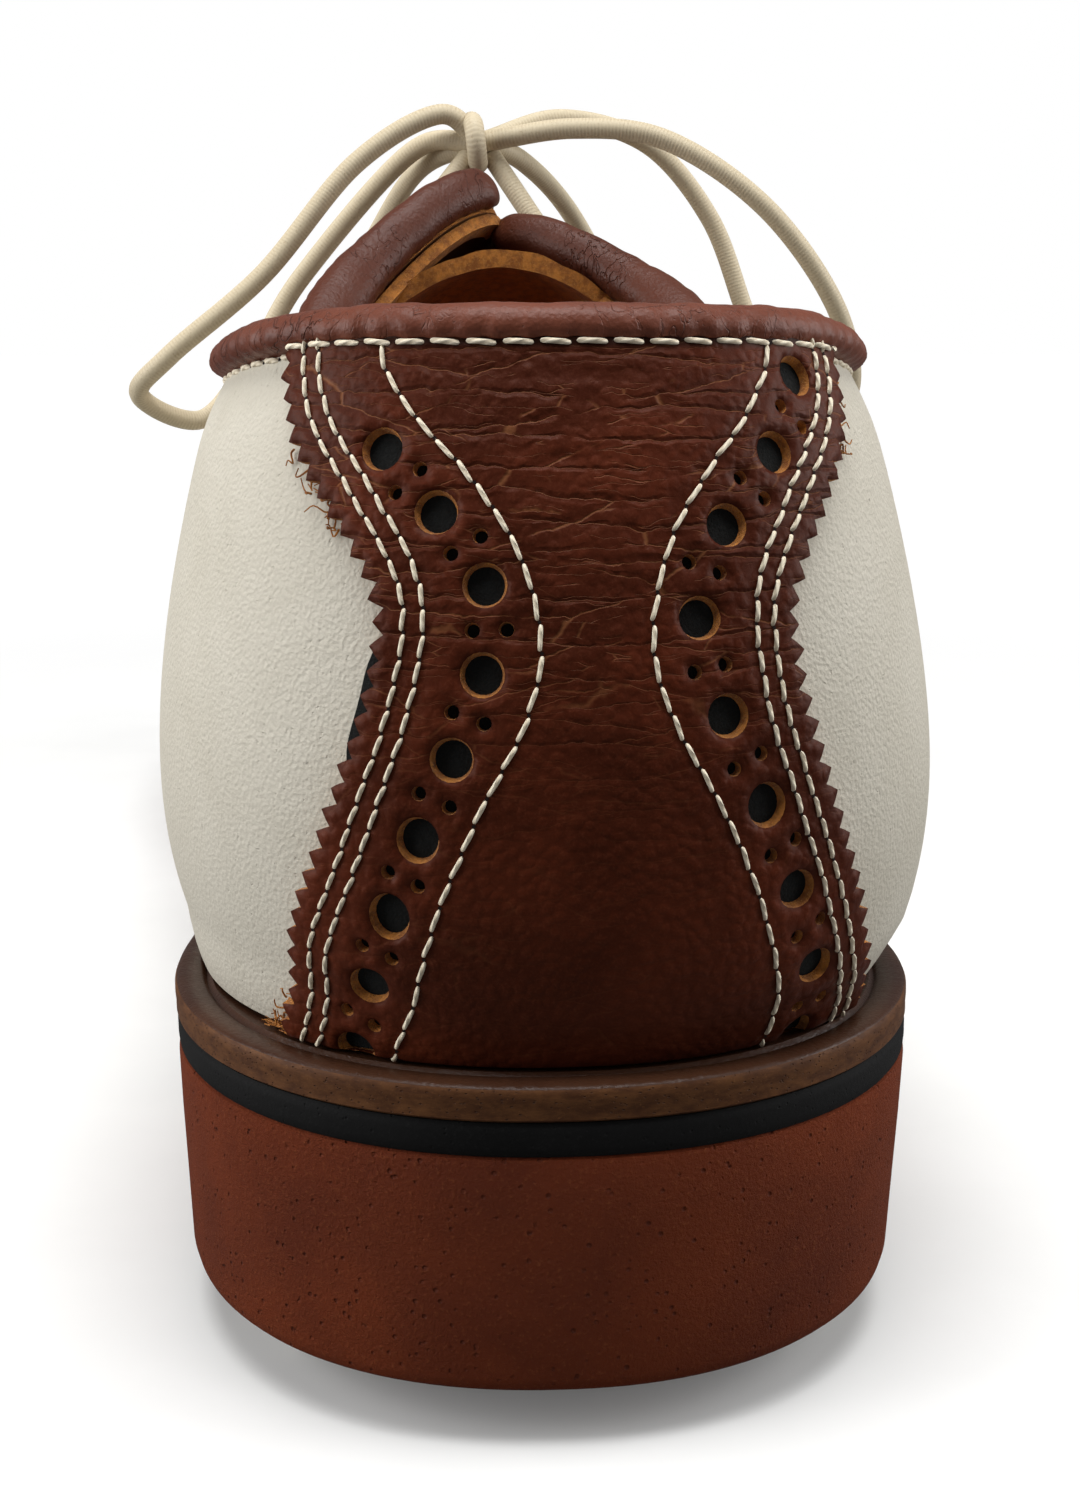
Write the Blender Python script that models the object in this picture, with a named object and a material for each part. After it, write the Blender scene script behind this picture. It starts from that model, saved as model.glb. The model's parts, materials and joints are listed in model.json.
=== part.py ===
"""Right golf shoe: brogued two-tone leather upper on a welted rubber sole with quarter-turn soft cleats.

Frame: +Y runs from the heel to the toe, +X is the outer (lateral) side, +Z is up, and z = 0 is the ground
under the cleats. Lengths in this file are millimetres, and make_object scales them to metres.

The upper is drawn on the surface of a shoe last. A place on it is an arc length along the last's bottom edge
(0 at the back of the heel, positive on the lateral side) and a girth up from that edge. The last is symmetric
here, and to_world then bends it into a right foot: heel pitch, toe spring and the swing of the forefoot.
"""

import math

import bmesh
import bpy
import numpy as np
from mathutils import Matrix, Vector

MM = 0.001

# Place of the model's origin: the middle of the shoe's bounding box, on the ground.
ORIGIN_X, ORIGIN_Y = 1.45, 148.4
CLEAT_DROP = 5.0  # how far the cleats stand below the sole

# The last, in plan: the back of the heel, the centres its two ends turn about, and the tip of the toe.
HEEL_BACK, HEEL_CENTRE, TOE_CENTRE, TOE_TIP = 10.0, 45.0, 240.0, 287.0
HEEL_ROUNDNESS, TOE_ROUNDNESS = 2.2, 2.0
LAST_HALF_WIDTH = (
    (10, 29.2), (45, 29.2), (80, 29.8), (112, 31), (150, 35), (200, 43.5), (240, 41), (287, 39),
)
RIDGE_HEIGHT = (
    (10, 81), (60, 82), (90, 84), (105, 81.5), (130, 68.5), (160, 54), (200, 42.5), (240, 33), (287, 22),
)
SECTION_POWER = ((10, 2.45), (55, 2.4), (85, 1.85), (110, 1.75), (150, 1.95), (200, 2.15), (287, 2.4))
# How far the wall stands out past the bottom edge, and the height at which it stands out most.
BULGE = ((10, 5.0), (60, 5.0), (100, 4.4), (160, 3.4), (287, 2.5))
BULGE_HEIGHT = ((10, 23), (70, 23), (110, 18), (170, 11), (287, 9))
# How far the wall is drawn in round the ankle, between two heights.
TUCK = ((10, 0.0), (22, 0.6), (45, 2.6), (75, 2.4), (98, 0.0))
TUCK_START, TUCK_END = 49.0, 62.0

# The bend from the symmetric last to a right foot.
BASE_HEIGHT = (
    (0, 28.2), (45, 26.9), (80, 23.4), (120, 18.4), (160, 14.6), (200, 12.85), (240, 14.5), (270, 17.8),
    (300, 22.4),
)
CENTRE_LINE = ((0, 0), (60, 0), (120, 1.4), (190, 1.8), (250, -2.5), (300, -7.5))
RIDGE_LEAN = ((0, -0.018), (60, -0.015), (110, -0.03), (200, -0.12), (300, -0.08))
HEEL_SET_OUT, HEEL_SET_OUT_REACH = 1.4, 90.0  # the upper's heel sits this far to the outer side of its seat
BALL, BALL_SKEW, BALL_REACH = 200.0, 0.24, 45.0

# Layers of the upper, as offsets out from the last.
LINING = (0.0, 1.0)
STIFFENER = (1.4, 2.3)
OUTER = (2.8, 4.0)
OVERLAY = (4.5, 5.6)
WING = (4.85, 5.8)
GAP = 0.35  # clearance between neighbouring solids

# Sole, from the top: welt, midsole and the moulded rubber outsole with its heel.
WELT_REACH = ((10, 10), (45, 6), (110, 5.2), (200, 8.5), (287, 10))
WELT_THICKNESS, MIDSOLE_THICKNESS, OUTSOLE_THICKNESS = 3.1, 3.0, 6.6
WELT_WIDTH = 15.0
HEEL_BREAST, BREAST_SLOPE = 77.0, 2.5
HEEL_TAPER = 1.4
BOARD_THICKNESS, FOOTBED_THICKNESS = 2.0, 3.2
BOARD_INSET = 0.8
SHANK_LENGTH, SHANK_WIDTH, SHANK_THICKNESS, SHANK_START = 112.0, 13.0, 1.2, 34.0
CORK_START, CORK_END = 152.0, 268.0

# Upper pattern. Girths and distances along the last, by distance y from the back of the shoe. The seams
# between quarters, vamp and wing tip give y by the share of the girth from the bottom edge to the ridge.
THROAT, FACING_TOP = 170.0, 106.0
FACING_GAP = 1.8  # half the gap between the two facings
TOPLINE = ((10, 61), (45, 57.5), (66, 58.5), (79, 64), (91, 74.5))
VAMP_SEAM = ((0, 128), (0.35, 139), (0.62, 156), (0.85, 169), (1, THROAT))
WING_EDGE = ((0, 160), (0.3, 192), (0.6, 224), (0.82, 232), (1, 214))
FOXING_HALF_WIDTH = ((0, 24), (17, 18.5), (33, 14), (45, 17), (60, 25.5))
FACING_WIDTH = ((84, 15), (106, 24), (150, 23), (172, 12))
FACING_REAR, FACING_FRONT = 88.0, 165.0
COUNTER_COLUMNS, COUNTER_ROWS = 10, 6
PUFF_START = 236.0
BINDING_HEIGHT, BINDING_SEAT = 3.6, 1.0

# Where the quarters' grid has its columns (arcs round the heel, then distances y) and its rows (shares of
# the girth).
HEEL_ARCS = (0.0, 7.0, 14.0, 21.5, 30.0, 40.0)
QUARTER_Y = (52.0, 65.0, 76.0, 88.0, 96.0, 102.0, FACING_TOP, 115.0, 126.0, 137.0, 148.0, 159.0, THROAT)
GIRTH_SHARES = (0, 0.13, 0.26, 0.39, 0.51, 0.63, 0.74, 0.84, 0.93, 1)

# Eyelets, lace and tongue.
EYELET_ROWS = (113.0, 125.0, 137.0, 149.0, 160.0)
EYELET_SETBACK = 12.5
EYELET_HOLE, EYELET_OUTER, EYELET_INNER, EYELET_FLANGE = 2.9, 2.55, 2.05, 3.7
LACE_RADIUS = 1.35
BAR_LIFT, UNDER_DEPTH = 9.2, -2.6
TONGUE_TOP, TONGUE_BASE = 93.0, 166.0
TONGUE_HALF_WIDTH = ((93, 15), (97, 18.5), (104, 22), (140, 24), (166, 18))
TONGUE_SINK = ((93, 9.2), (110, 10.5), (140, 9.2), (166, 7.5))  # straight down from the last's surface
TONGUE_THICKNESS = 1.8
KNOT_LIFT = 16.0
AGLET_LENGTH = 16.0

# Cleats and the receptacles they lock into.
CLEAT_PLACES = (
    (-17.5, 27.0), (17.5, 27.0), (0.0, 60.0),
    (-24.0, 168.0), (24.0, 162.0), (-31.0, 203.0), (29.0, 196.0), (-20.0, 240.0), (15.0, 236.0),
)
RECESS_RADIUS, RECESS_DEPTH = 11.4, 1.5
POCKET_RADIUS, POCKET_DEPTH = 8.8, 5.9
FLANGE_RADIUS, FLANGE_THICKNESS, CROWN_RADIUS = 10.8, 1.1, 6.2
RECEPTACLE_RADIUS, RECEPTACLE_HEIGHT = 8.5, 4.1
CHAMBER_RADIUS, LIP_THICKNESS, CHAMBER_HEIGHT = 6.3, 1.1, 2.1
STUD_RADIUS, LUG_REACH, LUG_WIDTH, LUG_THICKNESS = 3.2, 5.7, 3.4, 1.2
FLANGE_SEAT = RECESS_DEPTH - 0.25  # height of the flange's top above the sole's underside
STUD_FOOT = 0.3  # gap between the flange and the receptacle's lip
KEY_CLEARANCE = 0.4
LEG_COUNT = 6

COLOURS = {
    "cream_leather": ((0.66, 0.62, 0.53), 0.55, 0.0),
    "brown_leather": ((0.11, 0.035, 0.022), 0.42, 0.0),
    "tan_leather": ((0.34, 0.16, 0.06), 0.75, 0.0),
    "welt_leather": ((0.16, 0.075, 0.035), 0.6, 0.0),
    "black_rubber": ((0.02, 0.02, 0.022), 0.7, 0.0),
    "brick_rubber": ((0.22, 0.055, 0.025), 0.75, 0.0),
    "lace_cotton": ((0.55, 0.46, 0.32), 0.85, 0.0),
    "stiffener_board": ((0.30, 0.24, 0.16), 0.9, 0.0),
    "cork": ((0.36, 0.22, 0.11), 0.95, 0.0),
    "spring_steel": ((0.45, 0.46, 0.48), 0.3, 1.0),
    "antique_brass": ((0.35, 0.22, 0.09), 0.35, 1.0),
    "aglet_plastic": ((0.55, 0.46, 0.32), 0.3, 0.0),
    "cleat_plastic": ((0.62, 0.60, 0.55), 0.5, 0.0),
    "receptacle_plastic": ((0.03, 0.03, 0.035), 0.45, 0.0),
    "footbed_leather": ((0.26, 0.12, 0.05), 0.8, 0.0),
}


# ---------------------------------------------------------------- curves


def through(x, stations):
    """A smooth curve through (x, value) stations: cubic Hermite pieces, level past both ends."""
    at = np.array([station[0] for station in stations], float)
    value = np.array([station[1] for station in stations], float)
    slope = np.gradient(value, at)
    slope[0] = slope[-1] = 0.0
    x = np.clip(np.asarray(x, float), at[0], at[-1])
    i = np.clip(np.searchsorted(at, x, side="right") - 1, 0, len(at) - 2)
    step = at[i + 1] - at[i]
    t = (x - at[i]) / step
    left = (1 + 2 * t) * (1 - t) ** 2 * value[i] + t * (1 - t) ** 2 * step * slope[i]
    right = t * t * (3 - 2 * t) * value[i + 1] + t * t * (t - 1) * step * slope[i + 1]
    return left + right


def half_width(y):
    """Half the last's width at y, rounded off at the heel and the toe."""
    heel = np.clip((HEEL_CENTRE - y) / (HEEL_CENTRE - HEEL_BACK), 0, 1)
    toe = np.clip((y - TOE_CENTRE) / (TOE_TIP - TOE_CENTRE), 0, 1)
    heel_cap = (1 - heel**HEEL_ROUNDNESS) ** (1 / HEEL_ROUNDNESS)
    toe_cap = (1 - toe**TOE_ROUNDNESS) ** (1 / TOE_ROUNDNESS)
    return through(y, LAST_HALF_WIDTH) * heel_cap * toe_cap


TURN = np.linspace(0, math.pi, 4001)
EDGE_Y = HEEL_BACK + (TOE_TIP - HEEL_BACK) * (1 - np.cos(TURN)) / 2
EDGE_X = half_width(EDGE_Y)
EDGE_ARC = np.concatenate([[0], np.cumsum(np.hypot(np.diff(EDGE_X), np.diff(EDGE_Y)))])
HALF_ARC = EDGE_ARC[-1]


def arc_at(y):
    """Arc length from the back of the heel to the edge point at y."""
    return np.interp(y, EDGE_Y, EDGE_ARC)


def edge_point(arc):
    """(x, y) of the last's bottom edge. An arc past the toe comes back along the medial side."""
    arc = np.asarray(arc, float)
    folded = np.where(arc > HALF_ARC, arc - 2 * HALF_ARC, arc)
    x = np.interp(np.abs(folded), EDGE_ARC, EDGE_X) * np.sign(folded)
    return x, np.interp(np.abs(folded), EDGE_ARC, EDGE_Y)


# ---------------------------------------------------------------- the last's surface

PROFILE_TURN = np.linspace(0, math.pi / 2, 73)


def profiles(arc):
    """The upward profile at each arc: plan centre, plan direction, then radius, height and girth along it."""
    x, y = edge_point(arc)
    centre_y = np.clip(y, HEEL_CENTRE, TOE_CENTRE)
    reach = np.hypot(x, y - centre_y)
    safe = np.maximum(reach, 1e-6)
    ray_x, ray_y = x / safe, (y - centre_y) / safe
    power = 2 / through(y, SECTION_POWER)[..., None]
    inward = np.cos(PROFILE_TURN) ** power
    upward = np.sin(PROFILE_TURN) ** power
    radius = reach[..., None] * inward
    along = centre_y[..., None] + ray_y[..., None] * radius
    height = through(along, RIDGE_HEIGHT) * upward
    rise = height / through(y, BULGE_HEIGHT)[..., None]
    radius = radius + through(y, BULGE)[..., None] * rise * np.exp(1 - rise) * (1 - upward**4)
    drawn = np.clip((height - TUCK_START) / (TUCK_END - TUCK_START), 0, 1)
    drawn = drawn * drawn * (3 - 2 * drawn) * np.minimum(1.5 * inward, 1)
    radius = radius - through(y, TUCK)[..., None] * drawn
    girth = np.cumsum(np.hypot(np.diff(radius, axis=-1), np.diff(height, axis=-1)), axis=-1)
    girth = np.concatenate([np.zeros_like(girth[..., :1]), girth], axis=-1)
    return centre_y, ray_x, ray_y, radius, height, girth


def full_girth(arc):
    """Girth from the bottom edge up to the ridge."""
    return profiles(np.atleast_1d(arc))[5][..., -1].reshape(np.shape(arc))


def on_last(arc, girth):
    """Points of the last's surface before to_world, shaped like arc with a last axis of 3."""
    arc, girth = np.broadcast_arrays(np.asarray(arc, float), np.asarray(girth, float))
    centre_y, ray_x, ray_y, radius, height, table = profiles(arc.ravel())
    flat = girth.ravel()
    r = np.array([np.interp(g, t, row) for g, t, row in zip(flat, table, radius)])
    z = np.array([np.interp(g, t, row) for g, t, row in zip(flat, table, height)])
    points = np.stack([ray_x * r, centre_y + ray_y * r, z], axis=-1)
    return points.reshape(*arc.shape, 3)


def normals(arc, girth):
    """Outward unit normals of the last's surface. On the ridge they lie in the plane x = 0."""
    step = 0.4
    top = full_girth(arc)
    inside = np.clip(girth, step, top - step)
    along = on_last(arc + step, inside) - on_last(arc - step, inside)
    up = on_last(arc, inside + step) - on_last(arc, inside - step)
    normal = np.cross(along, up)
    y = on_last(arc, top)[..., 1]
    slope = (through(y + step, RIDGE_HEIGHT) - through(y - step, RIDGE_HEIGHT)) / (2 * step)
    ridge = np.stack([np.zeros_like(y), -slope, np.ones_like(y)], axis=-1)
    normal = np.where((girth > top - 1e-3)[..., None], ridge, normal)
    return normal / np.linalg.norm(normal, axis=-1, keepdims=True)


def offset_points(arc, girth, offset):
    """Points at an offset out from the last, still before to_world."""
    arc, girth = np.broadcast_arrays(np.asarray(arc, float), np.asarray(girth, float))
    points = on_last(arc, girth) + normals(arc, girth) * np.asarray(offset)[..., None]
    points[..., 2] = np.maximum(points[..., 2], GAP)
    return points


def to_world(points):
    """Bends the symmetric last into a right foot and stands it on its cleats."""
    x, y, z = points[..., 0], points[..., 1], points[..., 2]
    skew = BALL_SKEW * np.exp(-(((y - BALL) / BALL_REACH) ** 2))
    set_out = HEEL_SET_OUT * np.exp(-((y / HEEL_SET_OUT_REACH) ** 2)) * np.clip(z / 6, 0, 1)
    world_x = x + through(y, CENTRE_LINE) + through(y, RIDGE_LEAN) * z + set_out
    world_y = y - skew * x
    world_z = z + through(y, BASE_HEIGHT) + CLEAT_DROP
    return np.stack([world_x - ORIGIN_X, world_y - ORIGIN_Y, world_z], axis=-1)


def upper_point(arc, girth, offset):
    """One world point on the upper, as a Vector in millimetres."""
    return Vector(to_world(offset_points(np.array([arc]), np.array([girth]), np.array([offset])))[0])


# ---------------------------------------------------------------- meshes and objects


def material(name):
    """The named Principled material, made once."""
    if name in bpy.data.materials:
        return bpy.data.materials[name]
    colour, roughness, metallic = COLOURS[name]
    made = bpy.data.materials.new(name)
    made.use_nodes = True
    shader = made.node_tree.nodes["Principled BSDF"]
    shader.inputs["Base Color"].default_value = (*colour, 1)
    shader.inputs["Roughness"].default_value = roughness
    shader.inputs["Metallic"].default_value = metallic
    return made


def place(name, mesh, material_name):
    """Links a mesh as a named object under the shoe's empty."""
    mesh.materials.clear()
    mesh.materials.append(material(material_name))
    mesh.shade_smooth()
    mesh.set_sharp_from_angle(angle=math.radians(40))
    made = bpy.data.objects.new(name, mesh)
    bpy.context.scene.collection.objects.link(made)
    made.parent = SHOE
    return made


def make_object(name, vertices, faces, material_name, merge=0.05):
    """An object from millimetre vertices and faces, with coincident points merged and normals facing out."""
    made = bmesh.new()
    points = [made.verts.new(Vector(v) * MM) for v in vertices]
    for face in faces:
        made.faces.new([points[i] for i in face])
    bmesh.ops.remove_doubles(made, verts=made.verts, dist=merge * MM)
    bmesh.ops.dissolve_degenerate(made, edges=made.edges, dist=1e-5 * MM)
    bmesh.ops.recalc_face_normals(made, faces=made.faces)
    mesh = bpy.data.meshes.new(name)
    made.to_mesh(mesh)
    made.free()
    return place(name, mesh, material_name)


def boxed_grid(lower, upper, open_top=False):
    """Vertices and faces of the closed solid between two grids of points.

    With open_top the last points of all rows get no wall: there the grid meets itself on the ridge.
    """
    rows, columns = lower.shape[:2]
    vertices = np.concatenate([lower.reshape(-1, 3), upper.reshape(-1, 3)])
    number = np.arange(rows * columns).reshape(rows, columns)
    above = number + rows * columns
    faces = []
    for i in range(rows - 1):
        for j in range(columns - 1):
            faces.append((number[i, j], number[i, j + 1], number[i + 1, j + 1], number[i + 1, j]))
            faces.append((above[i, j], above[i + 1, j], above[i + 1, j + 1], above[i, j + 1]))
    rim = [(i, 0) for i in range(rows)] + [(rows - 1, j) for j in range(1, columns)]
    rim += [(i, columns - 1) for i in range(rows - 2, -1, -1)] + [(0, j) for j in range(columns - 2, 0, -1)]
    for here, after in zip(rim, rim[1:] + rim[:1]):
        if open_top and here[1] == columns - 1 and after[1] == columns - 1:
            continue
        faces.append((number[here], above[here], above[after], number[after]))
    return vertices.tolist(), [tuple(int(i) for i in face) for face in faces]


def shell(name, arc, girth, layer, material_name, over_ridge=False):
    """A closed leather shell over a grid of places on the last, filling one layer of offsets."""
    inner = to_world(offset_points(arc, girth, np.full(arc.shape, layer[0])))
    outer = to_world(offset_points(arc, girth, np.full(arc.shape, layer[1])))
    vertices, faces = boxed_grid(inner, outer, over_ridge)
    return make_object(name, vertices, faces, material_name)


def rim_outline(arc, reach):
    """The bottom edge moved out in plan by reach, as (x, y)."""
    step = 0.5
    x, y = edge_point(arc)
    ahead_x, ahead_y = edge_point(arc + step)
    back_x, back_y = edge_point(arc - step)
    run_x, run_y = ahead_x - back_x, ahead_y - back_y
    length = np.hypot(run_x, run_y)
    return x + reach * run_y / length, y - reach * run_x / length


def sole_slab(name, arcs, reach_top, reach_bottom, top, bottom, material_name):
    """A layer of the sole: ribs from side to side at each arc, between the heights top(y) and bottom(y)."""
    share = np.array([-1.0, 1.0])
    grids = []
    for reach, height in ((reach_bottom, bottom), (reach_top, top)):
        x, y = rim_outline(arcs, reach(arcs))
        x = np.maximum(x, 0)
        points = np.stack(np.broadcast_arrays(x[:, None] * share, y[:, None], height(y)[:, None]), axis=-1)
        grids.append(to_world(points))
    vertices, faces = boxed_grid(grids[0], grids[1])
    return make_object(name, vertices, faces, material_name, merge=0.2)


def tube(path, radius, sides):
    """Vertices and faces of a round tube with capped ends along a path of Vectors."""
    vertices, faces = [], []
    across = None
    for i, point in enumerate(path):
        run = (path[min(i + 1, len(path) - 1)] - path[max(i - 1, 0)]).normalized()
        if across is None:
            across = run.orthogonal().normalized()
        across = (across - run * across.dot(run)).normalized()
        other = run.cross(across)
        for k in range(sides):
            turn = 2 * math.pi * k / sides
            vertices.append(point + (across * math.cos(turn) + other * math.sin(turn)) * radius)
    for i in range(len(path) - 1):
        for k in range(sides):
            after = (k + 1) % sides
            faces.append((i * sides + k, i * sides + after, (i + 1) * sides + after, (i + 1) * sides + k))
    last = (len(path) - 1) * sides
    faces.append(tuple(range(sides - 1, -1, -1)))
    faces.append(tuple(last + k for k in range(sides)))
    return vertices, faces


def smooth_path(points, pieces):
    """A Catmull-Rom curve through points, with a number of straight pieces between each two."""
    points = [Vector(p) for p in points]
    padded = [points[0] * 2 - points[1]] + points + [points[-1] * 2 - points[-2]]
    path = []
    for before, start, end, after in zip(padded, padded[1:], padded[2:], padded[3:]):
        for k in range(pieces):
            t = k / pieces
            path.append(
                0.5
                * (
                    2 * start
                    + (end - before) * t
                    + (2 * before - 5 * start + 4 * end - after) * t * t
                    + (3 * start - before - 3 * end + after) * t**3
                )
            )
    return path + [points[-1]]


def revolved(profile, sides):
    """Vertices and faces of a closed ring turned about Z from (radius, height) points."""
    count = len(profile)
    vertices = [
        (r * math.cos(2 * math.pi * k / sides), r * math.sin(2 * math.pi * k / sides), z)
        for k in range(sides)
        for r, z in profile
    ]
    faces = []
    for k in range(sides):
        here, beyond = k * count, (k + 1) % sides * count
        for i in range(count):
            after = (i + 1) % count
            faces.append((here + i, beyond + i, beyond + after, here + after))
    return vertices, faces


def cylinder(name, radius, low, high, sides=16):
    """A hidden cylinder about Z to cut with."""
    made = bmesh.new()
    bmesh.ops.create_cone(
        made, cap_ends=True, segments=sides, radius1=radius * MM, radius2=radius * MM, depth=(high - low) * MM
    )
    bmesh.ops.translate(made, verts=made.verts, vec=(0, 0, (high + low) / 2 * MM))
    mesh = bpy.data.meshes.new(name)
    made.to_mesh(mesh)
    made.free()
    return hidden(bpy.data.objects.new(name, mesh))


def box(name, size_x, size_y, low, high):
    """A hidden box centred on Z to cut with."""
    made = bmesh.new()
    bmesh.ops.create_cube(made, size=MM)
    bmesh.ops.scale(made, verts=made.verts, vec=(size_x, size_y, high - low))
    bmesh.ops.translate(made, verts=made.verts, vec=(0, 0, (high + low) / 2 * MM))
    mesh = bpy.data.meshes.new(name)
    made.to_mesh(mesh)
    made.free()
    return hidden(bpy.data.objects.new(name, mesh))


def hidden(helper):
    """Links a cutter so that it is never a part of the shoe."""
    bpy.context.scene.collection.objects.link(helper)
    helper.hide_render = True
    helper.display_type = "WIRE"
    return helper


def combine(target, others, operation):
    """Adds one exact Boolean to target for each other object."""
    for other in others:
        modifier = target.modifiers.new(other.name, "BOOLEAN")
        modifier.object = other
        modifier.operation = operation
        modifier.solver = "EXACT"


def baked_mesh(made):
    """The evaluated mesh of an object, which is then removed."""
    bpy.context.view_layer.update()
    graph = bpy.context.evaluated_depsgraph_get()
    mesh = bpy.data.meshes.new_from_object(made.evaluated_get(graph))
    bpy.data.objects.remove(made)
    return mesh


def pose_on(normal, point):
    """The matrix in metres that stands a piece's +Z along normal at a point."""
    turn = Vector(normal).to_track_quat("Z", "Y").to_matrix().to_4x4()
    return Matrix.Translation(Vector(point) * MM) @ turn


# ---------------------------------------------------------------- sole


def sole_arcs(first, last, breast=False):
    """Arcs for the ribs of a sole layer, close together round the heel and the toe."""
    heel = np.array([0, 3, 8, 14, 21, 29, 38, 48])
    middle = arc_at(np.array([60, 70, 90, 105, 120, 140, 160, 180, 200, 220, 240.0]))
    toe = HALF_ARC - np.array([44, 34, 25, 17, 10, 4, 0])
    arcs = np.concatenate([heel, middle, toe])
    if breast:
        arcs = np.sort(np.append(arcs, arc_at(np.array([HEEL_BREAST, HEEL_BREAST + BREAST_SLOPE]))))
    low, high = arc_at(first), arc_at(last)
    kept = arcs[(arcs > low + 2) & (arcs < high - 2)]
    return np.concatenate([[low], kept, [high]])


def welt_reach(arc):
    return through(edge_point(arc)[1], WELT_REACH)


def board_reach(arc):
    return np.full_like(arc, -BOARD_INSET)


def footbed_reach(arc):
    return np.full_like(arc, -BOARD_INSET - 0.4)


def filler_reach(arc):
    return welt_reach(arc) - WELT_WIDTH - GAP


def level(height):
    """A height function of y that stays at one distance from the last's bottom."""
    return lambda y: np.full_like(y, height)


def outsole_bottom(y):
    """Flat under the heel, a steep breast, then one thickness of rubber under the forepart."""
    base = through(y, BASE_HEIGHT)
    forepart = -WELT_THICKNESS - MIDSOLE_THICKNESS - OUTSOLE_THICKNESS
    share = np.clip((y - HEEL_BREAST) / BREAST_SLOPE, 0, 1)
    return -base * (1 - share) + forepart * share


def build_sole():
    """Welt ring, insole board, footbed, shank, cork, midsole and outsole."""
    whole = sole_arcs(HEEL_BACK, TOE_TIP)
    shaped = sole_arcs(HEEL_BACK, TOE_TIP, breast=True)
    under_welt = -WELT_THICKNESS
    under_midsole = under_welt - MIDSOLE_THICKNESS

    def tapered(arc):
        heel_share = np.clip((HEEL_BREAST + 20 - edge_point(arc)[1]) / 20, 0, 1)
        return welt_reach(arc) - HEEL_TAPER * heel_share

    outsole = sole_slab(
        "outsole", shaped, welt_reach, tapered, level(under_midsole - GAP), outsole_bottom, "brick_rubber"
    )
    midsole_top = level(under_welt - GAP)
    sole_slab("midsole", whole, welt_reach, welt_reach, midsole_top, level(under_midsole), "black_rubber")
    build_welt(under_welt)
    board_top = GAP + BOARD_THICKNESS
    sole_slab("insole_board", whole, board_reach, board_reach, level(board_top), level(GAP), "tan_leather")
    sole_slab(
        "footbed", whole, footbed_reach, footbed_reach,
        level(board_top + GAP + FOOTBED_THICKNESS), level(board_top + GAP), "footbed_leather",
    )
    cork_arcs = sole_arcs(CORK_START, CORK_END)
    sole_slab("cork_filler", cork_arcs, filler_reach, filler_reach, level(-GAP), level(under_welt), "cork")
    build_shank()
    return outsole


def build_welt(bottom):
    """The leather ring between upper and midsole, all the way round."""
    arcs = sole_arcs(HEEL_BACK, TOE_TIP)
    round_arcs = np.concatenate([arcs, 2 * HALF_ARC - arcs[-2:0:-1]])
    reach = through(edge_point(round_arcs)[1], WELT_REACH)
    rings = []
    inner = reach - WELT_WIDTH
    for out, height in ((inner, bottom), (reach, bottom), (reach, 0.0), (inner, 0.0)):
        x, y = rim_outline(round_arcs, out)
        rings.append(to_world(np.stack([x, y, np.full_like(x, height)], axis=-1)))
    count = len(round_arcs)
    vertices = np.concatenate(rings).tolist()
    faces = []
    for ring in range(4):
        for i in range(count):
            after, above = (i + 1) % count, (ring + 1) % 4
            faces.append((ring * count + i, ring * count + after, above * count + after, above * count + i))
    make_object("welt", vertices, faces, "welt_leather")


def build_shank():
    """A sprung steel strip that follows the arch, between the welt's sides."""
    y = np.linspace(SHANK_START, SHANK_START + SHANK_LENGTH, 9)
    x = np.array([-1, 1]) * SHANK_WIDTH / 2
    top = np.stack(np.broadcast_arrays(x[None, :], y[:, None], np.full((9, 1), -0.9)), axis=-1)
    bottom = top - np.array([0, 0, SHANK_THICKNESS])
    vertices, faces = boxed_grid(to_world(bottom), to_world(top))
    shank = make_object("steel_shank", vertices, faces, "spring_steel")
    bevel = shank.modifiers.new("round_edges", "BEVEL")
    bevel.width = 0.3 * MM
    bevel.segments = 1


# ---------------------------------------------------------------- upper


def girth_limit(y):
    """Girth of the upper's free edge at y: the topline round the ankle, then the facing's front edge."""
    top = full_girth(arc_at(y))
    corner = float(full_girth(arc_at(FACING_TOP))) - FACING_GAP
    return np.where(y < FACING_TOP, through(y, TOPLINE + ((FACING_TOP, corner),)), top - FACING_GAP)


def seat(y):
    """Girth of the quarters' cut edge, just under the binding."""
    return girth_limit(y) - BINDING_SEAT


def quarter_grid():
    """Places of one quarter: columns from the back of the heel to the vamp seam, rows up to the free edge."""
    top_arcs = np.concatenate([HEEL_ARCS, arc_at(np.array(QUARTER_Y))])
    share = (top_arcs / top_arcs[-1])[:, None]
    up = np.array(GIRTH_SHARES)[None, :]
    arc = share * arc_at(through(up, VAMP_SEAM))
    return arc, up * seat(edge_point(arc)[1])


def both_sides(arc, girth):
    """A lateral grid carried round the back of the heel onto the medial side."""
    return np.concatenate([-arc[:0:-1], arc]), np.concatenate([girth[:0:-1], girth])


def build_quarters():
    """Cream quarters on each side, the lining round the heel inside them, and the heel counter between."""
    arc, girth = quarter_grid()
    for name, side in (("quarter_lateral", 1), ("quarter_medial", -1)):
        shell(name, np.maximum(arc, GAP / 2) * side, girth, OUTER, "cream_leather")
    shell("quarter_lining", *both_sides(arc, girth), LINING, "tan_leather")
    near, low = arc[:COUNTER_COLUMNS, :COUNTER_ROWS], girth[:COUNTER_COLUMNS, :COUNTER_ROWS]
    shell("heel_counter", *both_sides(near, low), STIFFENER, "stiffener_board")


def seam_shares():
    """The quarters' seam vertices as shares of the whole girth, so that the vamp's edge runs along them."""
    arc, girth = quarter_grid()
    return np.append(girth[-1] / full_girth(arc[-1]), 1.0)


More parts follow.
